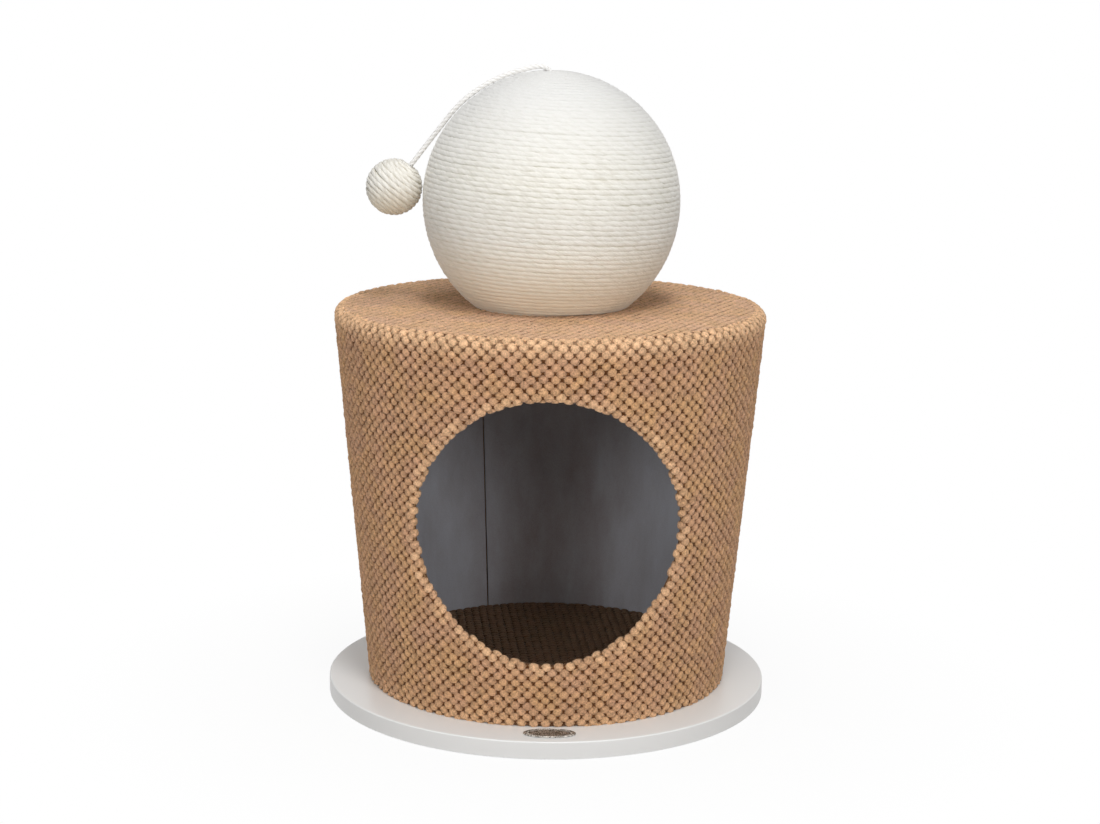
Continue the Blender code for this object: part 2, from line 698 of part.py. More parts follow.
def make_bolt(parts, cutting, finish):
    """The washer and bolt under the top board and the flanged nut on the ball's disc."""
    washer_top = TOP_BOARD_BOTTOM - CLEARANCE
    washer_bottom = washer_top - WASHER_THICKNESS
    hole = BOLT_HOLE_DIAMETER / 2
    settle(turned("ball_washer", [
        (hole, washer_top), (WASHER_DIAMETER / 2, washer_top),
        (WASHER_DIAMETER / 2, washer_bottom), (hole, washer_bottom),
    ], parts, SMALL_STEPS, closed=True), finish)

    head_top = washer_bottom - CLEARANCE
    head_radius = BOLT_HEAD_FLATS / math.sqrt(3.0)
    bolt = cylinder(
        "ball_bolt", (head_radius, head_radius), head_top - BOLT_HEAD_HEIGHT, head_top, parts, HEXAGON_STEPS,
    )
    shank_radius = BOLT_DIAMETER / 2
    shank = cylinder(
        "bolt_shank", (shank_radius, shank_radius),
        head_top - BOLT_HEAD_HEIGHT / 2, head_top + BOLT_LENGTH, cutting,
    )
    combine(bolt, shank, "UNION")
    settle(bolt, finish)

    flange_bottom = BALL_DISC_TOP + CLEARANCE
    flange_top = flange_bottom + NUT_FLANGE_THICKNESS
    barrel_bottom = flange_bottom - NUT_BARREL_LENGTH
    thread = BOLT_DIAMETER / 2 + CLEARANCE
    settle(turned("ball_nut", [
        (thread, flange_top), (NUT_FLANGE_DIAMETER / 2, flange_top),
        (NUT_FLANGE_DIAMETER / 2, flange_bottom), (NUT_BARREL_DIAMETER / 2, flange_bottom),
        (NUT_BARREL_DIAMETER / 2, barrel_bottom), (thread, barrel_bottom),
    ], parts, SMALL_STEPS, closed=True), finish)


def make_windings(parts, finish):
    """The rope on the ball, from its pole hole to its foot, and the rope on the toy."""
    lowest = math.acos((BALL_ROPE_DIAMETER / 2 - BALL_FOOT_DEPTH) / BALL_ROPE_RADIUS)
    pole = math.asin((BALL_POLE_HOLE_DIAMETER + BALL_ROPE_DIAMETER) / 2 / BALL_ROPE_RADIUS)
    ball_points = wound_points(BALL_ROPE_RADIUS, BALL_ROPE_DIAMETER, pole, lowest, BALL_POINTS_PER_TURN)
    ball = tube("ball_winding", ball_points, BALL_ROPE_DIAMETER, ROPE_ROUND_STEPS, parts, twist="Z_UP")
    ball.location = (0.0, 0.0, BALL_CENTRE)

    toy_pole = math.asin((TOY_POLE_HOLE_DIAMETER + TOY_ROPE_DIAMETER) / 2 / TOY_ROPE_RADIUS)
    toy_points = wound_points(
        TOY_ROPE_RADIUS, TOY_ROPE_DIAMETER, toy_pole, math.pi - toy_pole, TOY_POINTS_PER_TURN,
    )
    toy = tube("toy_winding", toy_points, TOY_ROPE_DIAMETER, ROPE_ROUND_STEPS, parts, twist="Z_UP")
    toy.location = TOY_CENTRE
    toy.rotation_euler = toy_rotation()

    for made, points, diameter, per_turn in (
        (ball, ball_points, BALL_ROPE_DIAMETER, BALL_POINTS_PER_TURN),
        (toy, toy_points, TOY_ROPE_DIAMETER, TOY_POINTS_PER_TURN),
    ):
        made.data.materials.append(finish)
        gap = least_gap(points, diameter, per_turn)
        print(f"{made.name}: {len(points)} points, least gap to itself {gap * 1000:.2f} mm")


def toy_rotation():
    """Turns the toy's axis, which is its +Z, along the cord towards the ball."""
    return (-DROP_DIRECTION).to_track_quat("Z", "Y").to_euler()


def make_toy_core(parts, cutting, finish):
    """The toy's ball with the bore that takes the cord's end."""
    shape = bmesh.new()
    core = sphere("toy_core", TOY_CORE_RADIUS, parts)
    bore_radius = CORD_DIAMETER / 2 + CLEARANCE
    bore = cylinder(
        "toy_bore", (bore_radius, bore_radius), TOY_CORE_RADIUS - TOY_BORE_DEPTH, TOY_RADIUS, cutting,
    )
    for made in (core, bore):
        made.location = TOY_CENTRE
        made.rotation_euler = toy_rotation()
    combine(core, bore)
    return settle(core, finish)


def make_cord(parts, finish):
    """The knot in the ball, the cord that lies on it, and the free stretch down to the toy."""
    knot_radius = KNOT_DIAMETER / 2
    knot_above = math.sqrt(knot_radius ** 2 - (CORD_HOLE_DIAMETER / 2) ** 2)
    knot = sphere("line_knot", knot_radius, parts)
    knot.location = (0.0, 0.0, cord_hole_height(BALL_INNER_RADIUS) - knot_above - CLEARANCE)
    settle(knot, finish)

    lay = tube("toy_cord_lay", smooth_route(LAY_ROUTE), CORD_DIAMETER, CORD_ROUND_STEPS, parts)

    drop_points = smooth_route(DROP_ROUTE)
    start = drop_points[0]
    backwards = (start - drop_points[1]).normalized()
    dome = [start + backwards * CORD_DIAMETER / 2 * math.sin(angle) for angle in CORD_DOME_ANGLES]
    dome_shares = [math.cos(angle) for angle in CORD_DOME_ANGLES]
    drop = tube(
        "toy_cord_drop", dome + drop_points, CORD_DIAMETER, CORD_ROUND_STEPS, parts,
        shares=dome_shares + [1.0] * len(drop_points),
    )
    for made in (lay, drop):
        made.data.materials.append(finish)


def add_pivot(name, place, collection, parent=None):
    """An empty on a joint's axis."""
    pivot = add_object(name, None, collection)
    pivot.empty_display_size = PIVOT_SIZE
    pivot.location = place
    if parent:
        attach(pivot, parent)
    return pivot


def attach(child, parent):
    """Parent a piece to an empty without moving it."""
    bpy.context.view_layer.update()
    child.parent = parent
    child.matrix_parent_inverse = parent.matrix_world.inverted()


def main():
    for old in list(bpy.data.objects):
        bpy.data.objects.remove(old)
    parts = bpy.data.collections.new("cat_cave")
    cutting = bpy.data.collections.new("cutters")
    for collection in (parts, cutting):
        bpy.context.scene.collection.children.link(collection)

    finishes = {
        "white_lacquer": material("white_lacquer", "#DCD9D4", 0.35),
        "plush": material("plush", "#A88563", 0.95),
        "lining": material("lining", "#5A5858", 0.85),
        "fibreboard": material("fibreboard", "#8A6A48", 0.8),
        "plywood": material("plywood", "#C6A67C", 0.7),
        "wadding": material("wadding", "#E6E4DE", 0.95),
        "zinc_steel": material("zinc_steel", "#B4B6B8", 0.35, 1.0),
        "antique_pewter": material("antique_pewter", "#8C857C", 0.45, 1.0),
        "moulded_plastic": material("moulded_plastic", "#D8D6D0", 0.5),
        "white_rope": material("white_rope", "#E6E1D6", 0.9),
        "toy_foam": material("toy_foam", "#D2CFC8", 0.8),
    }

    cutters = make_cutters(cutting)
    screw_holes = make_screws(parts, cutting, finishes["zinc_steel"])
    badge_holes = make_badge(parts, cutting, finishes["antique_pewter"])
    floor_slots = make_staples(
        "floor_staple", CAVE_FOOT + FLOOR_BOARD_THICKNESS / 2, parts, cutting, finishes["zinc_steel"],
    )
    top_slots = make_staples(
        "top_staple", WALL_TOP - TOP_BOARD_THICKNESS / 2, parts, cutting, finishes["zinc_steel"],
    )
    make_base_board(parts, screw_holes + badge_holes, finishes["white_lacquer"])
    make_floor(parts, screw_holes + floor_slots, finishes)
    make_wall(parts, cutters, floor_slots + top_slots, finishes)
    make_wall_cover(parts, cutting, cutters, finishes["plush"])
    make_top(parts, top_slots, finishes)
    make_ball_shells(parts, finishes)
    make_bolt(parts, cutting, finishes["zinc_steel"])
    make_windings(parts, finishes["white_rope"])
    make_toy_core(parts, cutting, finishes["toy_foam"])
    make_cord(parts, finishes["white_rope"])

    for cutter in cutting.objects:
        cutter.hide_render = True
        cutter.display_type = "WIRE"

    pieces = list(parts.objects)
    root = add_pivot("cat_cave", (0.0, 0.0, 0.0), parts)
    swivel = add_pivot("line_swivel", SWIVEL_PLACE, parts, root)
    hinge = add_pivot("toy_hinge", HINGE_PLACE, parts, swivel)
    carriers = {
        "toy_cord_lay": swivel, "line_knot": swivel,
        "toy_cord_drop": hinge, "toy_core": hinge, "toy_winding": hinge,
    }
    for piece in pieces:
        attach(piece, carriers.get(piece.name, root))


main()
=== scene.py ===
# %% [markdown]
# # Cat cave with a scratching ball
# A conical den stands on a round white board. Its wall and top are covered in nubbed plush, and
# a round doorway shows a grey lining. A ball wound with white rope is bolted on the top, and a
# small wound toy hangs from the ball's pole on a cord. The model's plain solids are loaded
# first. Each later cell makes one visible piece or finish and puts it where its solid is.

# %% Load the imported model
from functools import partial
from math import acos, atan, ceil, cos, degrees, exp, floor, pi, radians, sin

import bmesh
import bpy
import numpy as np
from mathutils import Matrix, Vector


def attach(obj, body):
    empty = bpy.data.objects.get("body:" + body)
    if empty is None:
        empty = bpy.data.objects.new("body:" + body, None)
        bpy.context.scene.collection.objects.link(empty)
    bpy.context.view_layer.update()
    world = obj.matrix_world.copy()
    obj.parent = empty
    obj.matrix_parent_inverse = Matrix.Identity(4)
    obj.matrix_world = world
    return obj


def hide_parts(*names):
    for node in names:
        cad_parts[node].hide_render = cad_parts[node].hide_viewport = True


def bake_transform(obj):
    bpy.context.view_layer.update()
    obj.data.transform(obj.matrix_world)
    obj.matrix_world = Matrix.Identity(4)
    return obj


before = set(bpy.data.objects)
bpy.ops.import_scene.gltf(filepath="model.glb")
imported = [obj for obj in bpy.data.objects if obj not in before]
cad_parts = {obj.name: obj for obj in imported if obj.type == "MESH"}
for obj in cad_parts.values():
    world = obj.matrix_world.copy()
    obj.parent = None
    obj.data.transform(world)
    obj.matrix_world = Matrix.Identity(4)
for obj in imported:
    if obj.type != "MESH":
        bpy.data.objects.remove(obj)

scene = bpy.context.scene
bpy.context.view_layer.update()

# %% [markdown]
# ## Sizes
# Everything is in metres. These sizes are the model's own, measured over the plush, and later
# cells take every place from them.

# %% Sizes of the cave, the ball and the toy
BOARD_DIAMETER, BOARD_THICKNESS, BOARD_EDGE_ROUND = 0.400, 0.016, 0.0015
CAVE_FOOT, CAVE_TOP = 0.0163, 0.3586
CAVE_FOOT_RADIUS, CAVE_RIM_RADIUS = 0.1637, 0.1947
DOORWAY_HALF_WIDTH, DOORWAY_HALF_HEIGHT, DOORWAY_CENTRE_HEIGHT = 0.111, 0.1154, 0.189
WALL_DEPTH = 0.009
BALL_RADIUS, BALL_CENTRE_HEIGHT, BALL_FOOT_HEIGHT = 0.1149, 0.45181, 0.3589
TOY_RADIUS, TOY_CENTRE = 0.0254, Vector((-0.1402, 0.0, 0.4622))
DROP_DIRECTION = Vector((-0.6101, 0.0, -0.7923))

WALL_SLOPE = (CAVE_RIM_RADIUS - CAVE_FOOT_RADIUS) / (CAVE_TOP - CAVE_FOOT)
WALL_LEAN = atan(WALL_SLOPE)


def wall_radius(height, depth=0.0):
    """Radius of the conical wall at a height, at a depth square to its outer face."""
    return CAVE_FOOT_RADIUS + WALL_SLOPE * (height - CAVE_FOOT) - depth / cos(WALL_LEAN)


print(f"the wall leans out {degrees(WALL_LEAN):.2f} degrees")

# %% [markdown]
# ## Helpers
# `linear` turns a colour picker's hex value into the linear numbers that the shader works with. `feed` sets
# or links the inputs of a node, and `add_node` adds one node with its settings and inputs. A noise shows its
# vector, scale, detail and roughness, and a map its value, the range it comes from and the range it goes to.
# `finish` starts a material and hands out `node`, which adds to it, and `surface` ends it. `place_piece`
# makes a finished piece, gives it its material, hides the solids it stands for and attaches it to the body
# it moves with.

# %% Helpers for colours, nodes and pieces


def linear(hex_colour):
    channels = [int(hex_colour[start:start + 2], 16) / 255 for start in (1, 3, 5)]
    return tuple(c / 12.92 if c <= 0.04045 else ((c + 0.055) / 1.055) ** 2.4 for c in channels) + (1.0,)


def feed(target, inputs):
    """Set a node's inputs, by name or as a list in the order in which the node shows them.

    Each is a number, a hex colour, another node or one of its outputs.
    """
    shown = [socket for socket in target.inputs if socket.enabled]
    if isinstance(inputs, dict):
        shown, inputs = [target.inputs[name] for name in inputs], inputs.values()
    for socket, value in zip(shown, inputs):
        if isinstance(value, str):
            value = linear(value)
        if isinstance(value, bpy.types.Node):
            value = next(output for output in value.outputs if output.enabled)
        if isinstance(value, bpy.types.NodeSocket):
            target.id_data.links.new(value, socket)
        else:
            socket.default_value = value


def add_node(tree, kind, inputs=(), operation=None, **settings):
    """Add a shader node with its inputs, the operation of a maths node, and other settings.

    A mix is always one of colours.
    """
    made = tree.nodes.new("ShaderNode" + kind)
    if kind == "Mix":
        made.data_type = "RGBA"
    if operation:
        made.operation = operation
    for name, value in settings.items():
        setattr(made, name, value)
    feed(made, inputs)
    return made


def finish(name, roughness, metallic=0.0, **sockets):
    """A new material, its node function and its Principled shader with these values."""
    made = bpy.data.materials.new(name)
    made.use_nodes = True
    shader = made.node_tree.nodes["Principled BSDF"]
    feed(shader, {"Roughness": roughness, "Metallic": metallic})
    feed(shader, {socket.replace("_", " "): value for socket, value in sockets.items()})
    return made, partial(add_node, made.node_tree), shader


def surface(node, shader, colour, height, depth, strength=1.0):
    """Give the shader its colour and a relief that is this deep."""
    relief = node("Bump", {"Strength": strength, "Distance": depth, "Height": height})
    feed(shader, {"Base Color": colour, "Normal": relief})


def as_mesh(name, shape):
    mesh = bpy.data.meshes.new(name)
    shape.to_mesh(mesh)
    shape.free()
    return mesh


def add_object(name, data):
    """Link a new object made of a bmesh, a mesh, a lamp or a camera."""
    if isinstance(data, bmesh.types.BMesh):
        data = as_mesh(name, data)
    made = bpy.data.objects.new(name, data)
    scene.collection.objects.link(made)
    return made


def place_piece(name, shape, material, replaces=(), body="root", smooth_below=180.0):
    """Make a finished piece of a bmesh or mesh. Edges bent by more than smooth_below are sharp."""
    made = add_object(name, shape)
    made.data.shade_smooth()
    if smooth_below < 180.0:
        made.data.set_sharp_from_angle(angle=radians(smooth_below))
    made.data.materials.clear()
    made.data.materials.append(material)
    if body:
        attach(made, body)
    if replaces:
        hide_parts(*replaces)
    print(f"{name}: {sum(len(face.vertices) - 2 for face in made.data.polygons)} triangles")
    return made


# %% [markdown]
# ## Camera
# The place, the three angles and the lens were found by fitting the outlines of the board, the
# cave, the ball and the toy to the photograph. The matrix is built from its three directions.

# %% Camera at the photograph's viewing angle
yaw, pitch, roll = radians(0.08), radians(11.546), radians(0.683)
look = Vector((sin(yaw) * cos(pitch), cos(yaw) * cos(pitch), -sin(pitch)))
level = Vector((cos(yaw), -sin(yaw), 0.0))
upright = level.cross(look)
right = cos(roll) * level + sin(roll) * upright
up = -sin(roll) * level + cos(roll) * upright

camera = add_object("camera", bpy.data.cameras.new("camera"))
camera.data.sensor_width = 36.0
camera.data.lens = 74.10
camera.data.clip_start = 0.05
camera.matrix_world = (
    Matrix.Translation((-0.0019, -2.0143, 0.6707)) @ Matrix((right, up, -look)).transposed().to_4x4()
)
scene.camera = camera
print("camera lens", camera.data.lens, "mm")

# %% [markdown]
# ## A tube rolled from a grid
# The cord and both ropes are long tubes. A grid has its rows and its UV map already, so it is
# rolled around the route: each row becomes a ring, and the two long edges are merged. The map
# then counts turns of the section one way and metres of rope the other way.

# %% Roll a grid into a tube along a route


def points_of(mesh):
    places = np.empty(3 * len(mesh.vertices))
    mesh.vertices.foreach_get("co", places)
    return places.reshape(-1, 3)


def unit(vectors):
    return vectors / np.maximum(np.linalg.norm(vectors, axis=1, keepdims=True), 1e-12)


def rolled_tube(centres, radius, outward, sides, lobes=0, lobe_depth=0.0, lay_length=1.0, width=1.0):
    """A closed tube along the centres. Lobes turn around it once in each lay length.

    Width makes the section wider across the outward direction, for a rope that is pressed flat.
    """
    rings = len(centres)
    shape = bmesh.new()
    shape.loops.layers.uv.new("UVMap")
    bmesh.ops.create_grid(shape, x_segments=sides, y_segments=rings - 1, size=0.5, calc_uvs=True)
    mesh = as_mesh("tube", shape)
    flat = points_of(mesh)
    ring = np.rint((flat[:, 1] + 0.5) * (rings - 1)).astype(int)
    turn = 2 * np.pi * (flat[:, 0] + 0.5)

    along = unit(np.gradient(centres, axis=0))
    across = unit(outward - along * np.sum(outward * along, axis=1, keepdims=True))
    beside = np.cross(along, across)
    steps = np.linalg.norm(np.diff(centres, axis=0), axis=1)
    metres = np.concatenate(([0.0], np.cumsum(steps)))

    twist = 2 * np.pi * metres[ring] / lay_length
    bulge = 1.0 - lobe_depth * (1.0 - np.abs(np.cos(lobes * (turn - twist) / 2)))
    reach = np.broadcast_to(radius, (rings,))[ring] * bulge
    points = (
        centres[ring]
        + (reach * np.cos(turn))[:, None] * across[ring]
        + (reach * width * np.sin(turn))[:, None] * beside[ring]
    )
    mesh.vertices.foreach_set("co", points.ravel())

    layer = mesh.uv_layers[0].uv
    uv = np.empty(2 * len(layer))
    layer.foreach_get("vector", uv)
    uv = uv.reshape(-1, 2)
    uv[:, 1] = np.interp(uv[:, 1], np.linspace(0.0, 1.0, rings), metres)
    layer.foreach_set("vector", uv.ravel())

    shape = bmesh.new()
    shape.from_mesh(mesh)
    bpy.data.meshes.remove(mesh)
    bmesh.ops.remove_doubles(shape, verts=shape.verts, dist=0.000002)
    bmesh.ops.holes_fill(shape, edges=[edge for edge in shape.edges if edge.is_boundary], sides=0)
    bmesh.ops.recalc_face_normals(shape, faces=shape.faces)
    return shape, metres[-1]


def smooth_route(places, per_span):
    """Points of a smooth curve (Catmull-Rom) through the given places, as an array."""
    places = np.array(places)
    knots = np.vstack((2 * places[0] - places[1], places, 2 * places[-1] - places[-2]))
    t = (np.arange(per_span) / per_span)[:, None]
    spans = [
        0.5 * (2 * b + (c - a) * t + (2 * a - 5 * b + 4 * c - d) * t ** 2 + (3 * b - a - 3 * c + d) * t ** 3)
        for a, b, c, d in zip(knots, knots[1:], knots[2:], knots[3:])
    ]
    return np.vstack(spans + [places[-1:]])


# %% [markdown]
# ## Rope: twisted white cotton
# All of the rope is soft bleached cotton, three strands laid together, cream rather than white.
# On the ball it is pulled flat and brushed, so its long fibres show more than its strands; on
# the cord the strands stand out. Cotton has no gloss, so the roughness is high and a little
# sheen lightens the grazing edges. The pattern follows from the UV map, the number of strands
# and the length in which one of them goes round.

# %% Rope material
STRANDS = 3


def rope_finish(name, light, dark, lay_length, bump, groove_shade_and_relief, crease_shade=0.0, contact=0.7, painted_light_tints=()):
    """Groove shade and relief is how dark the painted shade in the strands' grooves is, and how high their
    relief; crease shade is how dark the painted shade in the lines between turns is.

    Contact is the sine of the angle round the section where the next turn touches. Each painted light tint
    is the height where it starts, the height where it is full, its colour and its share.
    """
    material, node, shader = finish(
        name, 0.92, Sheen_Weight=0.4, Sheen_Roughness=0.5, Specular_IOR_Level=0.25,
    )
    split = node("SeparateXYZ", [node("UVMap")])
    around = node("Math", [split.outputs["X"], STRANDS], "MULTIPLY")
    phase = node("Math", [split.outputs["Y"], -STRANDS / lay_length, around], "MULTIPLY_ADD")
    circle = node("Math", [phase, 2 * pi], "MULTIPLY")
    wave = node("Math", [circle], "COSINE")
    strand = node("MapRange", [wave, -1.0, 0.4])

    # Fibres: noise stretched along the rope, about 1 mm apart and 8 mm long
    stretched = node("CombineXYZ", [phase, split.outputs["Y"]])
    sized = node("VectorMath", [stretched, (5.0, 120.0, 1.0)], "MULTIPLY")
    fibres = node("TexNoise", [sized, 1.0, 3.0, 0.7])

    # Painted shade along the line where two turns press together, but only in places, about 12 mm long
    turn = node("Math", [split.outputs["X"], 2 * pi], "MULTIPLY")
    flank = node("Math", [turn], "SINE")
    side = node("Math", [flank], "ABSOLUTE")
    pressed = node("MapRange", [side, 0.72 * contact, contact])
    spaced = node("VectorMath", [stretched, (0.6, 85.0, 1.0)], "MULTIPLY")
    patchy = node("TexNoise", [spaced, 1.0])
    open_line = node("MapRange", [patchy, 0.42, 0.62, 0.15 * crease_shade, crease_shade])
    shadow = node("Math", [pressed, open_line], "MULTIPLY")

    # Soft blotches of dye and handling, about 40 mm across
    where = node("TexCoord").outputs["Object"]
    blotch = node("TexNoise", [where, 28.0, 3.0])

    # The strands' grooves get painted shade, from the same strand wave as their relief
    groove_painted_shade = node("Math", [strand, groove_shade_and_relief, 1.0 - groove_shade_and_relief], "MULTIPLY_ADD")
    fuzz = node("Math", [fibres, 0.9, -0.45], "MULTIPLY_ADD")
    shade = node("Math", [groove_painted_shade, fuzz], "ADD")
    lined = node("Math", [shade, shadow], "SUBTRACT")
    tone = node("Math", [blotch, 0.35, lined], "MULTIPLY_ADD")
    factor = node("MapRange", [tone, 0.35, 1.2])
    colour = node("Mix", [factor, dark, light])
    level = node("SeparateXYZ", [where])
    # Painted light by height: a warm bounce from the plush low down, and on the ball a dimmer, neutral crown
    for start, full, tint, most in painted_light_tints:
        painted_light_share = node("MapRange", [level.outputs["Z"], start, full, 0.0, most])
        colour = node("Mix", [painted_light_share, colour, tint])

    lay = node("Math", [strand, groove_shade_and_relief], "MULTIPLY")
    height = node("Math", [fibres, 0.9, lay], "MULTIPLY_ADD")
    surface(node, shader, colour, height, bump)
    return material


# The ball's tints are painted light: warm bounce from the plush on its lower part, and a neutral, dimmer
# crown where the lamps wash it out
ball_rope = rope_finish(
    "twisted_cotton_rope_ball", "#edeae2", "#c0b9a5", 0.045, 0.0006, groove_shade_and_relief=0.14, crease_shade=0.5, contact=0.57,
    painted_light_tints=((0.430, 0.350, "#fdf4db", 0.85), (0.480, 0.550, "#e0e0df", 0.8)),
)
# The toy's tint is painted light: a tan bounce from the plush below, on its lower side
toy_rope = rope_finish(
    "twisted_cotton_rope_toy", "#edeae2", "#b0a68f", 0.030, 0.0005, groove_shade_and_relief=0.18, crease_shade=0.35, contact=0.8,
    painted_light_tints=((0.466, 0.436, "#cfbc95", 0.65),),
)
cord_rope = rope_finish("twisted_cotton_cord", "#f5f4f2", "#cbc7bf", 0.015, 0.0002, groove_shade_and_relief=0.34)
print("rope materials:", ball_rope.name, toy_rope.name, cord_rope.name)

# %% [markdown]
# ## The cord
# The photograph shows the cord from end to end: it comes out of the ball's pole hole, lies over the ball and
# drops to the toy, about 186 mm in all. Its middle line repeats the model's route, given as x and height,
# since all of it lies in one plane. It is one tube whose section has three lobes that turn as they go, as in
# a laid cord.

# %% Cord from the pole hole to the toy
LAY_ROUTE = (
    (0.0, 0.5518), (0.0, 0.5555), (-0.0003, 0.5592), (-0.0012, 0.5627), (-0.0034, 0.5660),
    (-0.0068, 0.5686), (-0.0112, 0.5697), (-0.0165, 0.5692), (-0.0225, 0.5677), (-0.0300, 0.5656),
    (-0.0400, 0.5624), (-0.0500, 0.5582), (-0.0595, 0.5532), (-0.0685, 0.5473), (-0.0765, 0.5410),
    (-0.0840, 0.5340), (-0.0915, 0.5255),
)
DROP_ROUTE = (
    (-0.09305, 0.52346), (-0.10040, 0.51400), (-0.10775, 0.50455), (-0.11505, 0.49505),
    (-0.12235, 0.48547), (-0.12845, 0.47752), (-0.13314, 0.47141),
)
CORD_DIAMETER, CORD_BEND = 0.0045, 0.012

cord_centres = smooth_route([(x, 0.0, z) for x, z in LAY_ROUTE + DROP_ROUTE], 14)
cord_side = np.tile((0.0, 1.0, 0.0), (len(cord_centres), 1))
cord_shape, cord_length = rolled_tube(
    cord_centres, CORD_DIAMETER / 2, cord_side, 24, lobes=3, lobe_depth=0.16, lay_length=0.015,
)
cord = place_piece(
    "toy_cord", cord_shape, cord_rope, ("toy_cord_lay", "toy_cord_drop"), body=None,
)
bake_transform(cord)
print(f"cord: {1000 * cord_length:.0f} mm long")

# %% [markdown]
# ## Light, floor and background
# The photograph is a studio shot on a white surround. The key lamp stands high in front, so that
# the ball shades the top beside and behind its foot, and a lamp overhead softens it. Two low
# lamps at the sides also shine in through the doorway. The world is a plain grey for the light
# it gives, and white where the camera, a gloss or a glass looks at it. So is the floor, but near
# the object a part of it stays a real surface, which keeps the shadow and fades out with the
# distance.

# %% Lamps, world and floor
for name, place, aim, size, power in (
    ("overhead", (0.0, -0.1, 1.9), 0.3, 0.5, 5.6),
    ("key", (0.15, -1.05, 2.06), 0.3, 0.5, 14.0),
    ("front_right", (1.0, -2.1, 0.85), 0.2, 0.7, 11.5),
    ("front_left", (-1.0, -2.1, 0.85), 0.2, 0.7, 11.0),
):
    lamp = add_object(name, bpy.data.lights.new(name, "AREA"))
    lamp.data.shape, lamp.data.size, lamp.data.energy = "DISK", size, power
    lamp.location = place
    lamp.rotation_euler = (Vector((0.0, 0.0, aim)) - Vector(place)).to_track_quat("-Z", "Y").to_euler()


def seen_share(node, share):
    """The share for rays that see the background: from the camera, a gloss or a glass."""
    path = node("LightPath")
    seen = path.outputs["Is Camera Ray"]
    for kind in ("Is Glossy Ray", "Is Transmission Ray"):
        seen = node("Math", [seen, path.outputs[kind]], "MAXIMUM")
    return node("Math", [seen, share], "MULTIPLY")


world = bpy.data.worlds.new("studio")
world.use_nodes = True
scene.world = world
node = partial(add_node, world.node_tree)
room = world.node_tree.nodes["Background"]
feed(room, {"Color": "#ffffff", "Strength": 0.26})
surround = node("Background", {"Color": "#ffffff", "Strength": 1.0})
seen_world = node("MixShader", [seen_share(node, 1.0), room, surround])
feed(world.node_tree.nodes["World Output"], {"Surface": seen_world})

floor_paper, node, shader = finish("studio_paper", 0.9, Base_Color="#f2f2f2", Specular_IOR_Level=0.0)
white = node("Emission", {"Color": "#ffffff", "Strength": 1.0})
where = node("TexCoord").outputs["Object"]
distance = node("VectorMath", [where], "LENGTH")
white_share = node("MapRange", [distance, 0.2, 0.45, 0.93, 1.0])
seen_floor = node("MixShader", [seen_share(node, white_share), shader, white])
feed(floor_paper.node_tree.nodes["Material Output"], {"Surface": seen_floor})

shape = bmesh.new()
bmesh.ops.create_grid(shape, x_segments=4, y_segments=4, size=6.0)
studio_floor = add_object("studio_floor", shape)
studio_floor.data.materials.append(floor_paper)
studio_floor.location = (0.0, 0.0, -0.0002)
scene.view_settings.view_transform = "Standard"

# %% [markdown]
# ## Wound rope
# The ball is one rope of about 33 m, wound from the pole hole to the foot in 64 turns, each
# beside the last. The route is a spiral on a sphere, so outward is the direction from the
# centre. A rope wound by hand wanders a fraction of a millimetre, swells and thins by a few
# percent, and its turns lean down a little to the right. The last turns press into the plush,
# so the lower half is drawn down by 3%. The ends grow thin over half a turn, as the real ones
# are tucked under and glued. The toy is wound the same way, and its axis lies along the cord.

# %% Ropes of the ball and the toy
WANDER, SINKING, SWELLING = 0.00036, 0.00012, 0.048
chance = np.random.default_rng(7)


def wound_rope(ball_radius, rope_diameter, first_angle, last_angle, turns, per_turn, width, tilt=0.0):
    """A rope wound on a ball about +Z, its centre line a spiral from pole to foot.

    Tilt is how far the middle turns lean down towards +X. It fades out near both ends.
    """
    share = np.linspace(0.0, 1.0, int(turns * per_turn) + 1)
    angle = first_angle + (last_angle - first_angle) * share
    around = 2 * np.pi * turns * share
    bends = chance.normal(0.0, 1.0, (2, int(turns * 11)))
    aside, deep = (np.interp(share, np.linspace(0.0, 1.0, row.size), row) for row in bends)
    fade = np.minimum(1.0, np.minimum(5.0 * share, 7.0 * (1.0 - share)))
    angle = angle + WANDER * aside / ball_radius + tilt * fade * np.cos(around)
    outward = np.c_[np.sin(angle) * np.cos(around), np.sin(angle) * np.sin(around), np.cos(angle)]
    centre_radius = ball_radius - rope_diameter / 2
    ends = np.clip(np.minimum(share, 1.0 - share) * turns * 2, 0.0, 1.0)
    tuck = (1.0 - ends) ** 2 * rope_diameter * 0.8 + SINKING * np.abs(deep)
    centres = (centre_radius - tuck)[:, None] * outward
    radius = rope_diameter / 2 * (0.35 + 0.65 * np.sqrt(ends)) * chance.normal(1.0, SWELLING, share.size)
    return rolled_tube(centres, radius, outward, 10, width=width)


BALL_ROPE_DIAMETER, BALL_TILT, BALL_SAG = 0.00445, radians(2.2), 1.03
ball_foot_angle = acos(
    (BALL_FOOT_HEIGHT + BALL_ROPE_DIAMETER / 2 - BALL_CENTRE_HEIGHT) / (BALL_RADIUS - BALL_ROPE_DIAMETER / 2)
)
ball_shape, ball_length = wound_rope(
    BALL_RADIUS, BALL_ROPE_DIAMETER, radians(4.2), ball_foot_angle,
    turns=64, per_turn=144, width=1.7, tilt=BALL_TILT,
)
lower_half = [vert for vert in ball_shape.verts if vert.co.z < 0.0]
bmesh.ops.scale(ball_shape, vec=(1.0, 1.0, BALL_SAG), verts=lower_half)
bmesh.ops.translate(ball_shape, vec=(0.0, 0.0, BALL_CENTRE_HEIGHT), verts=ball_shape.verts)
place_piece("ball_rope", ball_shape, ball_rope, ("ball_winding",))

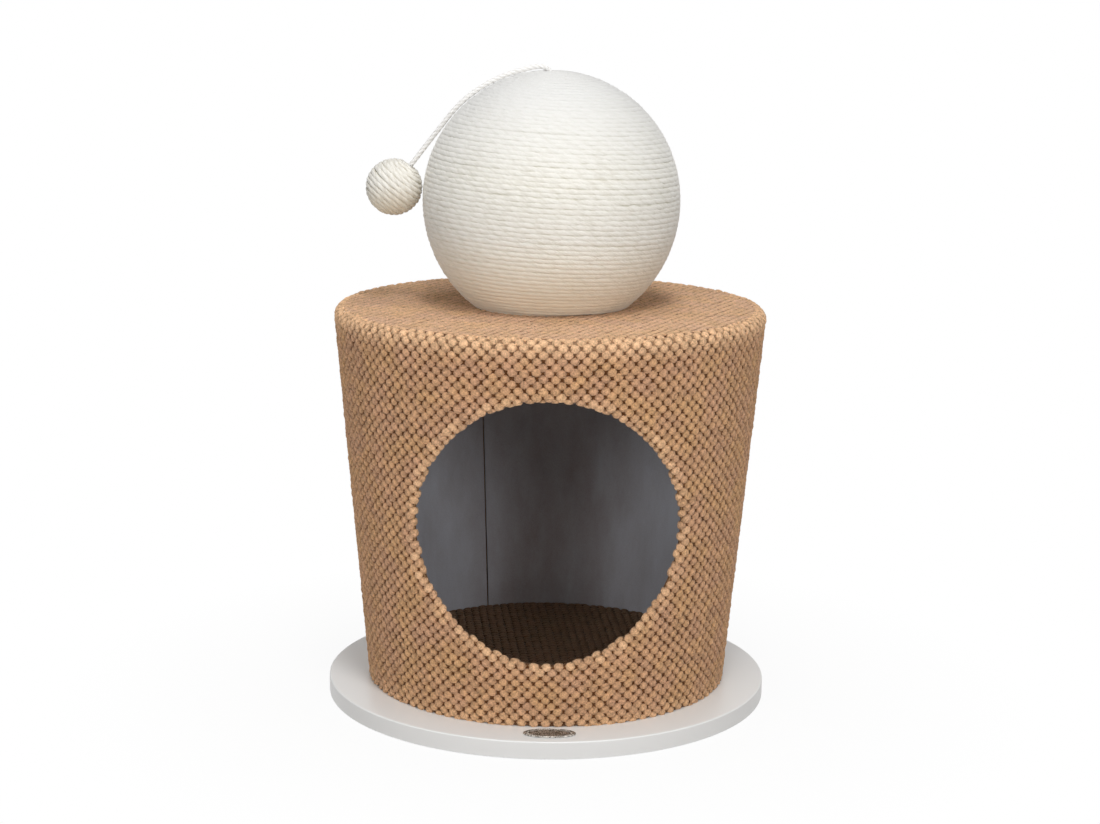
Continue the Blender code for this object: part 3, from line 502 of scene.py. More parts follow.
TOY_ROPE_DIAMETER = 0.0043
toy_shape, toy_length = wound_rope(
    TOY_RADIUS, TOY_ROPE_DIAMETER, radians(13.4), radians(176.0),
    turns=15.5, per_turn=64, width=1.22,
)
toy_turn = (-DROP_DIRECTION).to_track_quat("Z", "Y").to_matrix()
bmesh.ops.rotate(toy_shape, cent=(0.0, 0.0, 0.0), matrix=toy_turn, verts=toy_shape.verts)
bmesh.ops.translate(toy_shape, vec=TOY_CENTRE, verts=toy_shape.verts)
place_piece("toy_rope", toy_shape, toy_rope, ("toy_winding",), "toy")
print(f"rope: {ball_length:.1f} m on the ball, {toy_length:.2f} m on the toy")

# %% [markdown]
# ## Plush: the cloth's ground
# The cave wears a chenille plush: a brown woven ground with soft nubs on a staggered grid, 10.4
# mm apart in a row and 5.2 mm from row to row. The wall's cut is a curved band, cut from the flat
# cloth and closed with a seam at the back. `lay_cloth` takes a place on that band and returns
# where it lies: up the leaning wall, round the rim to the seam on the top, and, near the
# doorway, round the edge and in along the wall's thickness. The ground and every nub use it.

# %% Where the cloth lies
GROUND_DEPTH = 0.0026
GROUND_THICKNESS = 0.0003
RIM_CENTRE_RADIUS, RIM_CENTRE_HEIGHT, RIM_SEAM_RADIUS = 0.184848, 0.3496, 0.182848
RIM_BEND = 0.009 - GROUND_DEPTH
DOORWAY_BEND = 0.0026
STRAIGHT = (RIM_CENTRE_HEIGHT - RIM_BEND * sin(WALL_LEAN) - CAVE_FOOT) / cos(WALL_LEAN)
RIM_TURN = pi / 2 + WALL_LEAN
CLOTH_HEIGHT = STRAIGHT + RIM_BEND * RIM_TURN + RIM_CENTRE_RADIUS - RIM_SEAM_RADIUS
FLAT_FOOT = wall_radius(CAVE_FOOT, GROUND_DEPTH) / sin(WALL_LEAN)


def lay_cloth(around, slant):
    """Points, outward directions, and how far a place is past the doorway's bend and its end.

    Around is the angle from the front, and slant the distance from the foot up the cloth.
    """
    up_wall = np.clip(slant, 0.0, STRAIGHT)
    tilt = np.clip((slant - STRAIGHT) / RIM_BEND, 0.0, RIM_TURN) - WALL_LEAN
    inward = np.clip(slant - STRAIGHT - RIM_BEND * RIM_TURN, 0.0, None)
    below = STRAIGHT - up_wall
    radius = RIM_CENTRE_RADIUS + RIM_BEND * np.cos(tilt) - below * sin(WALL_LEAN) - inward
    height = RIM_CENTRE_HEIGHT + RIM_BEND * np.sin(tilt) - below * cos(WALL_LEAN)
    front = np.c_[np.sin(around), -np.cos(around)]
    points = np.c_[radius[:, None] * front, height]
    outward = np.c_[np.cos(tilt)[:, None] * front, np.sin(tilt)]

    # The doorway's edge point on the same ray from its centre, and the wall's direction there
    half = np.array((DOORWAY_HALF_WIDTH + GROUND_DEPTH, DOORWAY_HALF_HEIGHT + GROUND_DEPTH))
    ray = np.c_[points[:, 0], points[:, 2] - DOORWAY_CENTRE_HEIGHT]
    share = np.maximum(np.linalg.norm(ray / half, axis=1), 1e-6)
    edge = ray / share[:, None]
    edge_height = edge[:, 1] + DOORWAY_CENTRE_HEIGHT
    edge_radius = wall_radius(edge_height, GROUND_DEPTH)
    edge_y = -np.sqrt(np.maximum(edge_radius ** 2 - edge[:, 0] ** 2, 1e-6))
    corner = np.c_[edge[:, 0], edge_y, edge_height]
    away = unit(ray)
    rise = -away[:, 0] * edge[:, 0] / edge_y + away[:, 1] * edge_radius * WALL_SLOPE / edge_y
    along_wall = unit(np.c_[away[:, 0], rise, away[:, 1]])
    into = np.array((0.0, 1.0, 0.0))
    square = unit(into - along_wall * along_wall[:, 1:2])

    opening = np.arccos(np.clip(along_wall[:, 1], -1.0, 1.0))
    tangent = DOORWAY_BEND / np.tan(opening / 2)
    from_corner = np.linalg.norm(points - corner, axis=1) * np.where(share < 1.0, -1.0, 1.0)
    past = np.where((points[:, 1] < 0.0) & (share < 1.35), tangent - from_corner, -1.0)
    bend = np.clip(past / DOORWAY_BEND, 0.0, pi - opening)[:, None]
    inside_y = -np.sqrt(np.maximum(wall_radius(edge_height, WALL_DEPTH) ** 2 - edge[:, 0] ** 2, 1e-6))
    room = inside_y - edge_y - tangent
    deeper = past - DOORWAY_BEND * (pi - opening)
    left_over = np.clip(deeper, 0.0, room)[:, None] * into

    turned = -np.cos(bend) * square - np.sin(bend) * along_wall
    bent = corner + tangent[:, None] * along_wall + DOORWAY_BEND * (square + turned) + left_over
    wrapped = past > 0.0
    points[wrapped] = bent[wrapped]
    outward[wrapped] = turned[wrapped]
    return points, outward, past, deeper - room


print(f"the wall's cloth is {1000 * CLOTH_HEIGHT:.0f} mm high on its slant")

# %% [markdown]
# ## Plush: one nub, then thousands
# A nub is a low soft pillow on a rounded outline. It starts as half a UV sphere of 24
# faces. `bmesh.ops.spin` with `use_duplicate` copies it along a row and then copies the row, one
# metre apart, so that the whole part of a point's place gives its nub's number and the rest its
# place in the dome. Then every point is moved to its place on the cloth. Each nub gets a little
# random turn, size and tone. Three attributes tell the material a nub's tone, the rise from its
# root to its tip and how far it belongs to the doorway's hem.

# %% Nubs on a staggered grid
NUB_STEP = 0.0052
NUB_HALF_WIDTH, NUB_HALF_HEIGHT, NUB_RISE, NUB_ROUNDNESS = 0.00455, 0.00395, 0.0027, 2.5
NUBS_IN_ROW = 100


def nub_mesh(name, flat_centres, size, place, tip=1.0, ridge=0.0):
    """Nubs at the flat centres. Place takes flat points and returns points and directions.

    Tip is the share of the full rise, less than 1 where the cloth is stretched flat. Ridge draws
    the nubs out along one diagonal of the grid, so that they run together.
    """
    count = len(flat_centres)
    shape = bmesh.new()
    bmesh.ops.create_uvsphere(shape, u_segments=8, v_segments=6, radius=0.4)
    lower = [vert for vert in shape.verts if vert.co.z < -0.01]
    bmesh.ops.delete(shape, geom=lower, context="VERTS")
    for direction, copies in (((1.0, 0.0, 0.0), NUBS_IN_ROW), ((0.0, 1.0, 0.0), -(-count // NUBS_IN_ROW))):
        bmesh.ops.spin(
            shape, geom=shape.verts[:] + shape.edges[:] + shape.faces[:], cent=(0.0, 0.0, 0.0),
            axis=(0.0, 0.0, 1.0), dvec=direction, angle=0.0, steps=copies - 1, use_duplicate=True,
        )
    spare = [vert for vert in shape.verts if round(vert.co.y) * NUBS_IN_ROW + round(vert.co.x) >= count]
    bmesh.ops.delete(shape, geom=spare, context="VERTS")
    mesh = as_mesh(name, shape)

    places = points_of(mesh)
    grid = np.rint(places[:, :2])
    nub = (grid[:, 1] * NUBS_IN_ROW + grid[:, 0]).astype(int)
    dome = np.c_[places[:, :2] - grid, places[:, 2]] / 0.4

    # The dome's round outline becomes fuller in its corners, a little different for each nub
    angle = np.arctan2(dome[:, 1], dome[:, 0])
    outline = (
        (np.abs(np.cos(angle)) / NUB_HALF_WIDTH) ** NUB_ROUNDNESS
        + (np.abs(np.sin(angle)) / NUB_HALF_HEIGHT) ** NUB_ROUNDNESS
    ) ** (-1.0 / NUB_ROUNDNESS)
    reach = np.hypot(dome[:, 0], dome[:, 1]) * outline * (size * chance.normal(1.0, 0.035, count))[nub]
    turn = angle + chance.normal(0.0, 0.15, count)[nub]
    lean = chance.normal(0.0, 0.0003, (count, 2))[nub] * dome[:, 2:3]
    shift = chance.normal(0.0, 0.00026, (count, 2))[nub]
    offset = reach[:, None] * np.c_[np.cos(turn), np.sin(turn)]
    offset += ridge * offset.mean(axis=1, keepdims=True)
    flat = flat_centres[nub] + shift + lean + offset
    rise = tip * NUB_RISE * np.clip(size, 0.9, 1.1)[nub] * chance.normal(1.0, 0.07, count)[nub]
    points, outward = place(flat)
    points = points + outward * (rise * np.clip(dome[:, 2], 0.0, 1.0) ** 0.8 - 0.0002)[:, None]
    mesh.vertices.foreach_set("co", points.ravel())

    tones, hems = chance.random(count)[nub], np.clip((size - 1.0) * 20, 0, 1)[nub]
    for attribute, values in (("tone", tones), ("rise", dome[:, 2]), ("hem", hems)):
        layer = mesh.attributes.new(attribute, "FLOAT", "POINT").data
        layer.foreach_set("value", values.astype(np.float32))
    return mesh


def staggered(low, high):
    """Places of a staggered grid between two flat corners."""
    columns = np.arange(ceil(low[0] / NUB_STEP), floor(high[0] / NUB_STEP) + 1)
    rows = np.arange(ceil(low[1] / NUB_STEP), floor(high[1] / NUB_STEP) + 1)
    column, row = (part.ravel() for part in np.meshgrid(columns, rows))
    kept = (column + row) % 2 == 0
    return NUB_STEP * np.c_[column[kept], row[kept]]


def on_band(flat):
    """Turn points of the flat cut into the angle around the cave and the slant up it."""
    around = np.arctan2(flat[:, 0], flat[:, 1]) / sin(WALL_LEAN)
    return around, np.hypot(flat[:, 0], flat[:, 1]) - FLAT_FOOT


print(f"nubs {2000 * NUB_STEP:.1f} mm apart in a row")

# %% [markdown]
# ## Plush: its finish
# Chenille is all fibre ends, so it has no gloss: roughness 1 and sheen, which lightens it where the eye
# grazes it. The dye is uneven in patches, between pinkish tan and ochre. Low on each nub and on the ground
# lies the root colour: the ground's darker brown together with painted shade in the pits between the nubs.
# Each nub's tip gets a painted highlight, and tufts 1.5 to 2.5 mm across roughen each dome. The rim band is
# painted paler, as painted light from above, and its painted pit shade is taken away; near the foot and
# along the doorway's edge the cloth is paler too.

# %% Plush material


def plush_finish(name, root, pink, ochre, pale, rim_light_and_pale_foot=0.0, pit_shade_rise=(-0.08, 0.44), mottle=0.44):
    """Pit shade rise is where on a nub the root's colour, with its painted pit shade, ends and the tip's is
    full.
    """
    material, node, shader = finish(
        name, 1.0, Sheen_Weight=0.3, Sheen_Roughness=0.45, Sheen_Tint="#f6dfc4", Specular_IOR_Level=0.1,
    )
    where = node("TexCoord").outputs["Object"]
    tone, rise, hem = (
        node("Attribute", attribute_name=part).outputs["Fac"] for part in ("tone", "rise", "hem")
    )

    patches = node("TexNoise", [where, 38.0])
    dye = node("Math", [tone, 0.10, patches], "MULTIPLY_ADD")
    hue = node("MapRange", [dye, 0.40, 0.72])
    tip = node("Mix", [hue, pink, ochre])
    # Nubs at the doorway's hem are paler, each by a random share
    random_paleness = node("Math", [tone, 0.5, 0.15], "MULTIPLY_ADD")
    paler = node("Math", [hem, random_paleness], "MULTIPLY")
    level = node("SeparateXYZ", [where])
    # Painted light on the rim band, and a paler cloth near the foot
    painted_rim_light = node("MapRange", [level.outputs["Z"], 0.338, 0.353, 0.0, rim_light_and_pale_foot])
    at_foot = node("MapRange", [level.outputs["Z"], 0.034, 0.018, 0.0, 0.4 * rim_light_and_pale_foot])
    at_edges = node("Math", [painted_rim_light, at_foot], "ADD")
    pale_share = node("Math", [paler, at_edges], "MAXIMUM")
    edge = node("Mix", [pale_share, tip, pale])

    fibres = node("TexNoise", [where, 640.0, 3.0, 0.75])
    tufts = node("TexNoise", [where, 420.0])
    rough = node("Math", [fibres, 0.5, -0.25], "MULTIPLY_ADD")
    lifted = node("Math", [rise, rough], "ADD")
    # Painted shade in the pits: low on each nub, and on the ground, the root colour shows
    depth = node("MapRange", [lifted, *pit_shade_rise], interpolation_type="SMOOTHSTEP")
    # The rim's painted light also takes the painted pit shade away there
    rim_lifts_pit_shade = node("Math", [painted_rim_light, 0.75], "MULTIPLY")
    shown = node("Math", [depth, rim_lifts_pit_shade], "MAXIMUM")
    body = node("Mix", [shown, root, edge])
    # Specks mix random tufts and tone with a painted highlight on each nub's tip, from its rise
    uneven = fibres
    for part, weight in ((rise, 0.3), (tufts, 0.8), (tone, 0.12)):
        uneven = node("Math", [part, weight, uneven], "MULTIPLY_ADD")
    specks_and_tip_highlight = node("MapRange", [uneven, 0.90, 1.44, 1.0 - mottle, 1.0 + mottle])
    lit = node("Mix", [1.0, body, specks_and_tip_highlight], blend_type="MULTIPLY")

    height = node("Math", [tufts, 1.2, fibres], "MULTIPLY_ADD")
    surface(node, shader, lit, height, 0.0012)
    return material


# The root colour is the ground's brown with painted pit shade, and the pale colour is the painted rim light
# and the paler foot and hem
plush = plush_finish("chenille_plush", "#7d4d27", "#c79a79", "#c99d72", "#eabf96", rim_light_and_pale_foot=0.9)
# The top's copy of the plush is painted paler: painted light, for the stronger light on the top
top_plush_painted_light = plush_finish(
    "chenille_plush_top_painted_light", "#8a5c41", "#dcb394", "#dab189", "#dcb394", pit_shade_rise=(0.0, 0.6), mottle=0.34,
)
# The floor's copy is painted much darker: painted shade inside the cave
floor_plush_painted_shade = plush_finish("chenille_plush_floor_painted_shade", "#1c1006", "#6b4930", "#614429", "#6b4930")
print("plush materials:", plush.name, top_plush_painted_light.name, floor_plush_painted_shade.name)

# %% [markdown]
# ## Plush on the wall
# The nubs are made in three pieces, for the left, the right and the back, to keep each mesh light. Those
# within about a nub of the doorway's bend are a little larger, as the stretched pile opens there, and paler.
# At the back seam each side's nubs end at the cloth's edge, some of them cut through. Under them lies the
# ground, one thin sheet from foot to rim seam with the doorway cut out and its edge turned in.

# %% Wall nubs and ground
PAST_FOOT, PAST_RIM_SEAM, PAST_BACK_SEAM, BEFORE_DOORWAY_END = 0.0022, 0.0012, 0.0026, 0.0018
BACK_SEAM_WIDTH = 0.0008
BACK_STARTS = 1.9

wall_centres = staggered((-FLAT_FOOT * 0.35, FLAT_FOOT * 0.9), (FLAT_FOOT * 0.35, FLAT_FOOT + CLOTH_HEIGHT))
around, slant = on_band(wall_centres)
_, _, past, over_end = lay_cloth(around, slant)
kept = (
    (slant > -PAST_FOOT) & (slant < CLOTH_HEIGHT + PAST_RIM_SEAM) & (over_end < -BEFORE_DOORWAY_END)
    & (np.abs(around) < pi + PAST_BACK_SEAM / CAVE_RIM_RADIUS)
)
wall_centres, around, past = wall_centres[kept], around[kept], past[kept]
wall_sizes = 1.0 + 0.05 * np.clip((past + 0.006) / 0.004, 0.0, 1.0)


def place_on_wall(flat):
    around, slant = on_band(flat)
    edge = pi - BACK_SEAM_WIDTH / 2 / CAVE_RIM_RADIUS
    points, outward, _, _ = lay_cloth(np.clip(around, -edge, edge), np.clip(slant, 0.0, CLOTH_HEIGHT))
    return points, outward


for name, chosen in (
    ("wall_nubs_left", (around > -BACK_STARTS) & (around <= 0.0)),
    ("wall_nubs_right", (around > 0.0) & (around < BACK_STARTS)),
    ("wall_nubs_back", np.abs(around) >= BACK_STARTS),
):
    nubs = nub_mesh(name, wall_centres[chosen], wall_sizes[chosen], place_on_wall)
    place_piece(name, nubs, plush)
print(f"{len(wall_centres)} nubs on the wall")

shape = bmesh.new()
bmesh.ops.create_grid(shape, x_segments=240, y_segments=80, size=0.5)
for vert in shape.verts:
    vert.co = (2 * pi * vert.co.x, CLOTH_HEIGHT * (vert.co.y + 0.5), 0.0)


def laid(verts):
    return lay_cloth(*np.array([vert.co[:2] for vert in verts]).T)


_, _, past, over_end = laid(shape.verts)
inside = [vert for vert, over in zip(shape.verts, over_end) if over > 0.012]
near = {vert for vert, distance in zip(shape.verts, past) if distance > -0.006} - set(inside)
bmesh.ops.delete(shape, geom=inside, context="VERTS")
bmesh.ops.subdivide_edges(
    shape, edges=[edge for edge in shape.edges if set(edge.verts) <= near], cuts=3, use_grid_fill=True,
)
_, _, _, over_end = laid(shape.verts)
beyond = [vert for vert, over in zip(shape.verts, over_end) if over > 0.0014]
bmesh.ops.delete(shape, geom=beyond, context="VERTS")
for vert, point in zip(shape.verts, laid(shape.verts)[0]):
    vert.co = point
bmesh.ops.remove_doubles(shape, verts=shape.verts, dist=0.00001)
bmesh.ops.recalc_face_normals(shape, faces=shape.faces)


def place_ground(name, shape, material, solid):
    """The ground cloth with its thickness, on its inner side."""
    ground = place_piece(name, shape, material, (solid,))
    thick = ground.modifiers.new("thickness", "SOLIDIFY")
    thick.thickness, thick.offset = GROUND_THICKNESS, -1.0
    return ground


wall_ground = place_ground("wall_ground", shape, plush, "wall_cover")

# %% [markdown]
# ## Plush on the top and on the floor
# The top is a disc of the same cloth over a thin pad, and the cat's floor is another; the top's copy is
# painted paler, as painted light, and the floor's much darker, as painted shade. Both are flat, so their
# nubs need no bending: each point is only kept inside the disc's edge. The nubs are lower, on the top
# because the cloth is stretched and on the floor because it is trodden.
# The top's lap a little over the seam with the wall's cloth, and the ground's edge is turned
# down there, which closes the seam. The floor's cloth is cut on the slant, which puts its nubs
# in ridges from front to back.

# %% Top and floor plush
TOP_RADIUS, FLOOR_RADIUS, FLOOR_TOP = 0.1825, 0.156, 0.0346
FLAT_TIP, EDGE_TURNED_DOWN = 0.6, 0.0011


def plush_disc(name, radius, top, material, slant, lap=-0.0002, ridge=0.0):
    """A disc of nubs and its ground, lying on what is below.

    Slant is how its grid is turned, and lap how far the nubs reach past the radius.
    """
    ground_height = top - FLAT_TIP * NUB_RISE
    centres = staggered((-radius, -radius), (radius, radius))
    centres = centres[np.hypot(centres[:, 0], centres[:, 1]) < radius + lap + 0.0015]
    c, s = cos(slant), sin(slant)

    def place_on_disc(flat):
        distance = np.hypot(flat[:, 0], flat[:, 1])
        flat = flat * np.minimum(1.0, (radius + lap) / np.maximum(distance, 1e-9))[:, None]
        turned = np.c_[c * flat[:, 0] - s * flat[:, 1], s * flat[:, 0] + c * flat[:, 1]]
        points = np.c_[turned, np.full(len(flat), ground_height)]
        return points, np.broadcast_to((0.0, 0.0, 1.0), points.shape)

    made = nub_mesh(name + "_nubs", centres, np.ones(len(centres)), place_on_disc, FLAT_TIP, ridge)
    nubs = place_piece(name + "_nubs", made, material)
    shape = bmesh.new()
    bmesh.ops.create_circle(shape, cap_ends=True, segments=128, radius=radius + max(0.0, 0.8 * lap))
    rim = bmesh.ops.extrude_edge_only(shape, edges=[edge for edge in shape.edges if edge.is_boundary])
    turned_down = [vert for vert in rim["geom"] if isinstance(vert, bmesh.types.BMVert)]
    bmesh.ops.translate(shape, vec=(0.0, 0.0, -EDGE_TURNED_DOWN), verts=turned_down)
    bmesh.ops.translate(shape, vec=(0.0, 0.0, ground_height), verts=shape.verts)
    bmesh.ops.recalc_face_normals(shape, faces=shape.faces)
    ground = place_ground(name + "_ground", shape, material, name + "_cover")


plush_disc("top", TOP_RADIUS, CAVE_TOP, top_plush_painted_light, radians(20.0), lap=0.002)
plush_disc("floor", FLOOR_RADIUS, FLOOR_TOP, floor_plush_painted_shade, radians(50.0), ridge=0.35)

# %% [markdown]
# ## The wall's cloth laid flat
# The band's cut is a part of a ring: its area follows from the two arcs and the height. The
# doorway is cut out of it, less the edge that is turned in. An oval seen from the front covers
# about 12% more of a curved wall.


# %% [markdown]
# ## Grey lining
# Inside, the wall is lined with a coated grey cloth, glued flat. Its two ends meet in an open butt seam at
# the back left, where the right end stands a little off the wall. It is rolled from a grid that starts and
# ends at the seam, then gets its thickness, and the doorway is cut with a Boolean. The coating is matt and
# blotched by handling. Towards the sides it is painted a cooler, paler grey: painted light from the side
# lamps that shine in through the doorway.

# %% Lining
LINING_THICKNESS, LINING_SEAM_WIDTH, LINING_SEAM_ANGLE = 0.0012, 0.0011, radians(22.0)
lining_low, lining_high = 0.0316, 0.3337

shape = bmesh.new()
shape.loops.layers.uv.new("UVMap")
bmesh.ops.create_grid(shape, x_segments=220, y_segments=40, size=0.5, calc_uvs=True)
for vert in shape.verts:
    height = lining_low + (lining_high - lining_low) * (vert.co.y + 0.5)
    radius = wall_radius(height, WALL_DEPTH)
    half_gap = LINING_SEAM_WIDTH / 2 / radius
    around = pi / 2 + LINING_SEAM_ANGLE + half_gap + (2 * pi - 2 * half_gap) * (vert.co.x + 0.5)
    radius -= 0.0006 * exp(-(0.5 - vert.co.x) * 2 * pi * radius / 0.004)
    vert.co = (radius * cos(around), radius * sin(around), height)
bmesh.ops.reverse_faces(shape, faces=shape.faces)
bmesh.ops.solidify(shape, geom=shape.faces[:], thickness=-LINING_THICKNESS)
bmesh.ops.recalc_face_normals(shape, faces=shape.faces)
band = add_object("lining_band", shape)

shape = bmesh.new()
bmesh.ops.create_cone(shape, cap_ends=True, segments=160, radius1=1.0, radius2=1.0, depth=0.3)
bmesh.ops.rotate(shape, cent=(0.0, 0.0, 0.0), matrix=Matrix.Rotation(pi / 2, 3, "X"), verts=shape.verts)
oval = (DOORWAY_HALF_WIDTH + 0.0031, 1.0, DOORWAY_HALF_HEIGHT + 0.0031)
bmesh.ops.scale(shape, vec=oval, verts=shape.verts)
bmesh.ops.translate(shape, vec=(0.0, -0.15, DOORWAY_CENTRE_HEIGHT), verts=shape.verts)


def cut(target, cutters):
    """The target's mesh after the cutters are taken away from it. All of them are removed."""
    for cutter in cutters:
        taken = target.modifiers.new(cutter.name, "BOOLEAN")
        taken.operation, taken.solver, taken.object = "DIFFERENCE", "EXACT", cutter
    bpy.context.view_layer.update()
    mesh = bpy.data.meshes.new_from_object(target.evaluated_get(bpy.context.evaluated_depsgraph_get()))
    for one in (target, *cutters):
        bpy.data.objects.remove(one)
    return mesh


lining_mesh = cut(band, [add_object("doorway_oval", shape)])

lining_finish, node, shader = finish("coated_grey_lining", 0.62, Specular_IOR_Level=0.3)
where = node("TexCoord").outputs["Object"]
drawn = node("VectorMath", [where, (1.0, 1.0, 0.35)], "MULTIPLY")
smudges = node("TexNoise", [drawn, 34.0, 5.0, 0.6])
soft = node("Math", [smudges, 0.55, 0.225], "MULTIPLY_ADD")
weave = node("TexNoise", [where, 900.0])
mottle = node("Math", [weave, 0.25, soft], "MULTIPLY_ADD")
place = node("SeparateXYZ", [where])
# Painted light: cooler and paler towards the sides, where the side lamps shine in through the doorway
aside = node("Math", [place.outputs["X"]], "ABSOLUTE")
painted_side_light = node("MapRange", [aside, 0.03, 0.11, -0.05, 0.32])
handling_and_side_light = node("Math", [mottle, painted_side_light], "ADD")
share = node("MapRange", [handling_and_side_light, 0.45, 1.05])
grey = node("Mix", [share, "#8b8180", "#bbbec6"])
surface(node, shader, grey, weave, 0.0002, 0.35)

lining = place_piece("lining", lining_mesh, lining_finish, ("wall_lining",), smooth_below=35.0)

# %% [markdown]
# ## Base board
# A 16 mm board with lacquered faces and a slightly rounded edge. It is a profile spun around Z,
# and its four countersunk screw holes are cut from below. The white lacquer is a smooth coat,
# faintly yellowed in patches, with a fine orange-peel ripple. The edge is a little greyer.

# %% Board


def turned(outline, steps):
    """Spin (radius, height) points, from the axis to the axis, into a closed shape."""
    shape = bmesh.new()
    verts = [shape.verts.new((radius, 0.0, height)) for radius, height in outline]
    edges = [shape.edges.new(pair) for pair in zip(verts, verts[1:])]
    bmesh.ops.spin(
        shape, geom=verts + edges, cent=(0.0, 0.0, 0.0), axis=(0.0, 0.0, 1.0),
        angle=2 * pi, steps=steps, use_merge=True,
    )
    bmesh.ops.remove_doubles(shape, verts=shape.verts, dist=0.000005)
    bmesh.ops.recalc_face_normals(shape, faces=shape.faces)
    return shape


INNER_RADIUS, SCREW_CIRCLE_RADIUS = 0.150, 0.110
SCREW_HOLE = (
    (0.0, -0.002), (0.0043, -0.002), (0.0043, 0.0006), (0.0023, 0.0031), (0.0023, 0.02), (0.0, 0.02),
)

board_outline = [(0.0, 0.0), (INNER_RADIUS, 0.0)]
for middle, first in ((BOARD_EDGE_ROUND, -90.0), (BOARD_THICKNESS - BOARD_EDGE_ROUND, 0.0)):
    for step in range(6):
        angle = radians(first + 18.0 * step)
        board_outline.append((
            BOARD_DIAMETER / 2 - BOARD_EDGE_ROUND + BOARD_EDGE_ROUND * cos(angle),
            middle + BOARD_EDGE_ROUND * sin(angle),
        ))
board_outline += [(INNER_RADIUS, BOARD_THICKNESS), (0.0, BOARD_THICKNESS)]
board_object = add_object("board", turned(board_outline, 192))
screw_holes = []
for quarter in range(4):
    around = radians(45.0 + 90.0 * quarter)
    place = (SCREW_CIRCLE_RADIUS * cos(around), SCREW_CIRCLE_RADIUS * sin(around), 0.0)
    hole = turned(SCREW_HOLE, 24)
    bmesh.ops.translate(hole, vec=place, verts=hole.verts)
    screw_holes.append(add_object(f"screw_hole_{quarter}", hole))
board_mesh = cut(board_object, screw_holes)

lacquer, node, shader = finish("white_satin_lacquer", 0.38, Coat_Weight=0.12, Coat_Roughness=0.25)
coordinates = node("TexCoord")
where = coordinates.outputs["Object"]
yellowing = node("TexNoise", [where, 6.0, 3.0])
ripple = node("TexNoise", [where, 240.0])
white_coat = node("Mix", [yellowing, "#f5f7f8", "#f9f9f6"])
facing = node("SeparateXYZ", [coordinates.outputs["Normal"]])
level = node("Math", [facing.outputs["Z"]], "ABSOLUTE")
flat_face = node("MapRange", [level, 0.2, 0.8])
edged = node("Mix", [flat_face, "#dddcda", white_coat])
satin = node("MapRange", [yellowing, 0.3, 0.7, 0.32, 0.46])
feed(shader, {"Roughness": satin})
surface(node, shader, edged, ripple, 0.0002, 0.15)

place_piece("lacquered_board", board_mesh, lacquer, ("base_board",), smooth_below=35.0)

# %% [markdown]
# ## Blank plate
# A small cast plate with a bare field is pinned to the board in front of the doorway. A raised
# rim and a ring of beads finish it, as on any small furniture plate. Pewter is a dull dark
# metal, black with age in the low places and worn lighter on the high ones.

# %% Plate
PLATE_HALF_LENGTH, PLATE_HALF_WIDTH, PLATE_PLACE = 0.0225, 0.0105, (0.0034, -0.180, 0.0163)
plate_outline = [
    (0.0, 0.0), (0.99, 0.0), (1.0, 0.0002), (1.0, 0.0008), (0.985, 0.00108), (0.955, 0.0012),
    (0.92, 0.00115), (0.895, 0.00095), (0.88, 0.00075), (0.80, 0.00072), (0.0, 0.00078),
]
plate_shape = turned(plate_outline, 96)
bmesh.ops.scale(plate_shape, vec=(PLATE_HALF_LENGTH, PLATE_HALF_WIDTH, 1.0), verts=plate_shape.verts)
BEADS, BEAD_RADIUS, BEAD_HEIGHT = 52, 0.00048, 0.00075
for bead in range(BEADS):
    angle = 2 * pi * bead / BEADS
    made = bmesh.ops.create_icosphere(plate_shape, subdivisions=1, radius=BEAD_RADIUS)
    aside, ahead = 0.84 * PLATE_HALF_LENGTH * cos(angle), 0.80 * PLATE_HALF_WIDTH * sin(angle)
    bmesh.ops.translate(plate_shape, vec=(aside, ahead, BEAD_HEIGHT), verts=made["verts"])
bmesh.ops.translate(plate_shape, vec=PLATE_PLACE, verts=plate_shape.verts)

pewter, node, shader = finish("aged_pewter", 0.45, 0.7)
where = node("TexCoord").outputs["Object"]
patina = node("TexNoise", [where, 900.0, 5.0])
hollow = node("NewGeometry")
wear = node("Math", [hollow.outputs["Pointiness"], patina], "MULTIPLY")
bright = node("MapRange", [wear, 0.22, 0.31])
metal = node("Mix", [bright, "#4b4640", "#d8d3cb"])
surface(node, shader, metal, patina, 0.0001, 0.4)

place_piece("blank_plate", plate_shape, pewter, ("badge",), smooth_below=50.0)

# %% [markdown]
# ## Pad under the top's plush
# A thin disc of wadding, crowned a little and drawn in at its edge, which softens the top.

# %% Pad
PAD_FOOT, PAD_RISE = 0.3493, 0.0058
pad_outline = [(0.0, PAD_FOOT)]
for step in range(4, 8):
    pad_outline.append((TOP_RADIUS * sin(pi / 2 * step / 8) ** 0.5, PAD_FOOT))
for step in range(11):
    angle = pi / 2 * step / 10
    drawn_in = 0.0008 * (1 - cos(angle)) + 0.012 * sin(angle) ** 6
    pad_outline.append((TOP_RADIUS - drawn_in, PAD_FOOT + PAD_RISE * sin(angle)))
pad_outline.append((0.0, PAD_FOOT + PAD_RISE))


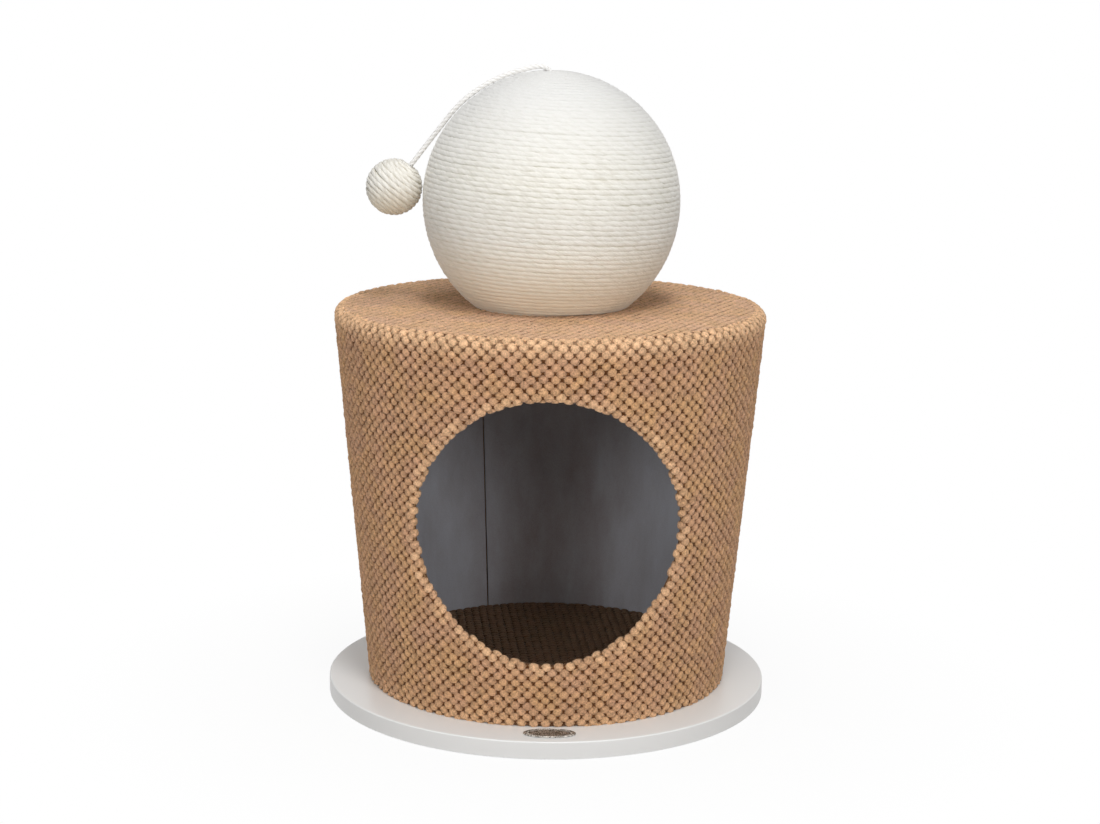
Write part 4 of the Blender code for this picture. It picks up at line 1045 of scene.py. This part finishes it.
def mottled(
    name, dark, light, roughness, scale, strength,
    depth=0.0002, detail=3.0, distortion=0.0, stretch=(1.0, 1.0, 1.0), span=(0.0, 1.0), sheen=0.0,
):
    """Two close colours mixed by a noise, drawn out by stretch, which is the relief as well."""
    material, node, shader = finish(name, roughness, Sheen_Weight=sheen)
    where = node("TexCoord").outputs["Object"]
    drawn = node("VectorMath", [where, stretch], "MULTIPLY")
    grain = node("TexNoise", {"Vector": drawn, "Scale": scale, "Detail": detail, "Distortion": distortion})
    share = node("MapRange", [grain, *span])
    tint = node("Mix", [share, dark, light])
    surface(node, shader, tint, grain, depth, strength)
    return material


wadding = mottled(
    "polyester_wadding", "#d9d6cf", "#f0eee9", 0.95, 260.0, 0.8, depth=0.0008, detail=5.0, sheen=0.4,
)
pad = place_piece("wadding_pad", turned(pad_outline, 96), wadding, ("top_pad",))

# %% [markdown]
# ## Parts that keep their solids
# Boards, screws, staples, the bolt with its nut and washer, the ball's two moulded shells, the
# toy's core and the knot keep the shapes of the model. Each gets the finish of its real material.

# %% Wood, metal and plastic
plywood = mottled(
    "raw_birch_plywood", "#a9825a", "#d2b184", 0.7, 60.0, 0.3,
    detail=5.0, distortion=0.4, stretch=(1.0, 0.06, 2.0), span=(0.3, 0.7),
)
fibreboard = mottled(
    "bent_fibreboard", "#7d5c3c", "#a5835b", 0.85, 900.0, 0.3, detail=5.0, distortion=0.4, span=(0.3, 0.7),
)
shell_plastic = mottled("moulded_polypropylene", "#d6d3cb", "#dedbd3", 0.5, 600.0, 0.25)
toy_foam = mottled("moulded_foam", "#cdc8be", "#d8d3ca", 0.85, 1400.0, 0.25)

zinc, node, shader = finish("zinc_plated_steel", 0.35, 1.0)
where = node("TexCoord").outputs["Object"]
spangle = node("TexNoise", [where, 700.0, 3.0])
dull = node("MapRange", [spangle, 0.0, 1.0, 0.26, 0.48])
feed(shader, {"Roughness": dull})
plated = node("Mix", [spangle, "#a9adb2", "#c4c8cb"])
feed(shader, {"Base Color": plated})

for finish_material, names in (
    (plywood, ("top_board", "floor_board", "ball_base_disc")),
    (fibreboard, ("wall_shell",)),
    (zinc, ("ball_bolt", "ball_washer", "ball_nut", "base_screw", "floor_staple", "top_staple")),
    (shell_plastic, ("ball_shell_lower", "ball_shell_upper")),
    (toy_foam, ("toy_core",)),
    (cord_rope, ("line_knot",)),
):
    for node_name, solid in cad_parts.items():
        if node_name.startswith(names):
            solid.data.materials.clear()
            solid.data.materials.append(finish_material)
            print(f"{node_name}: {finish_material.name}")
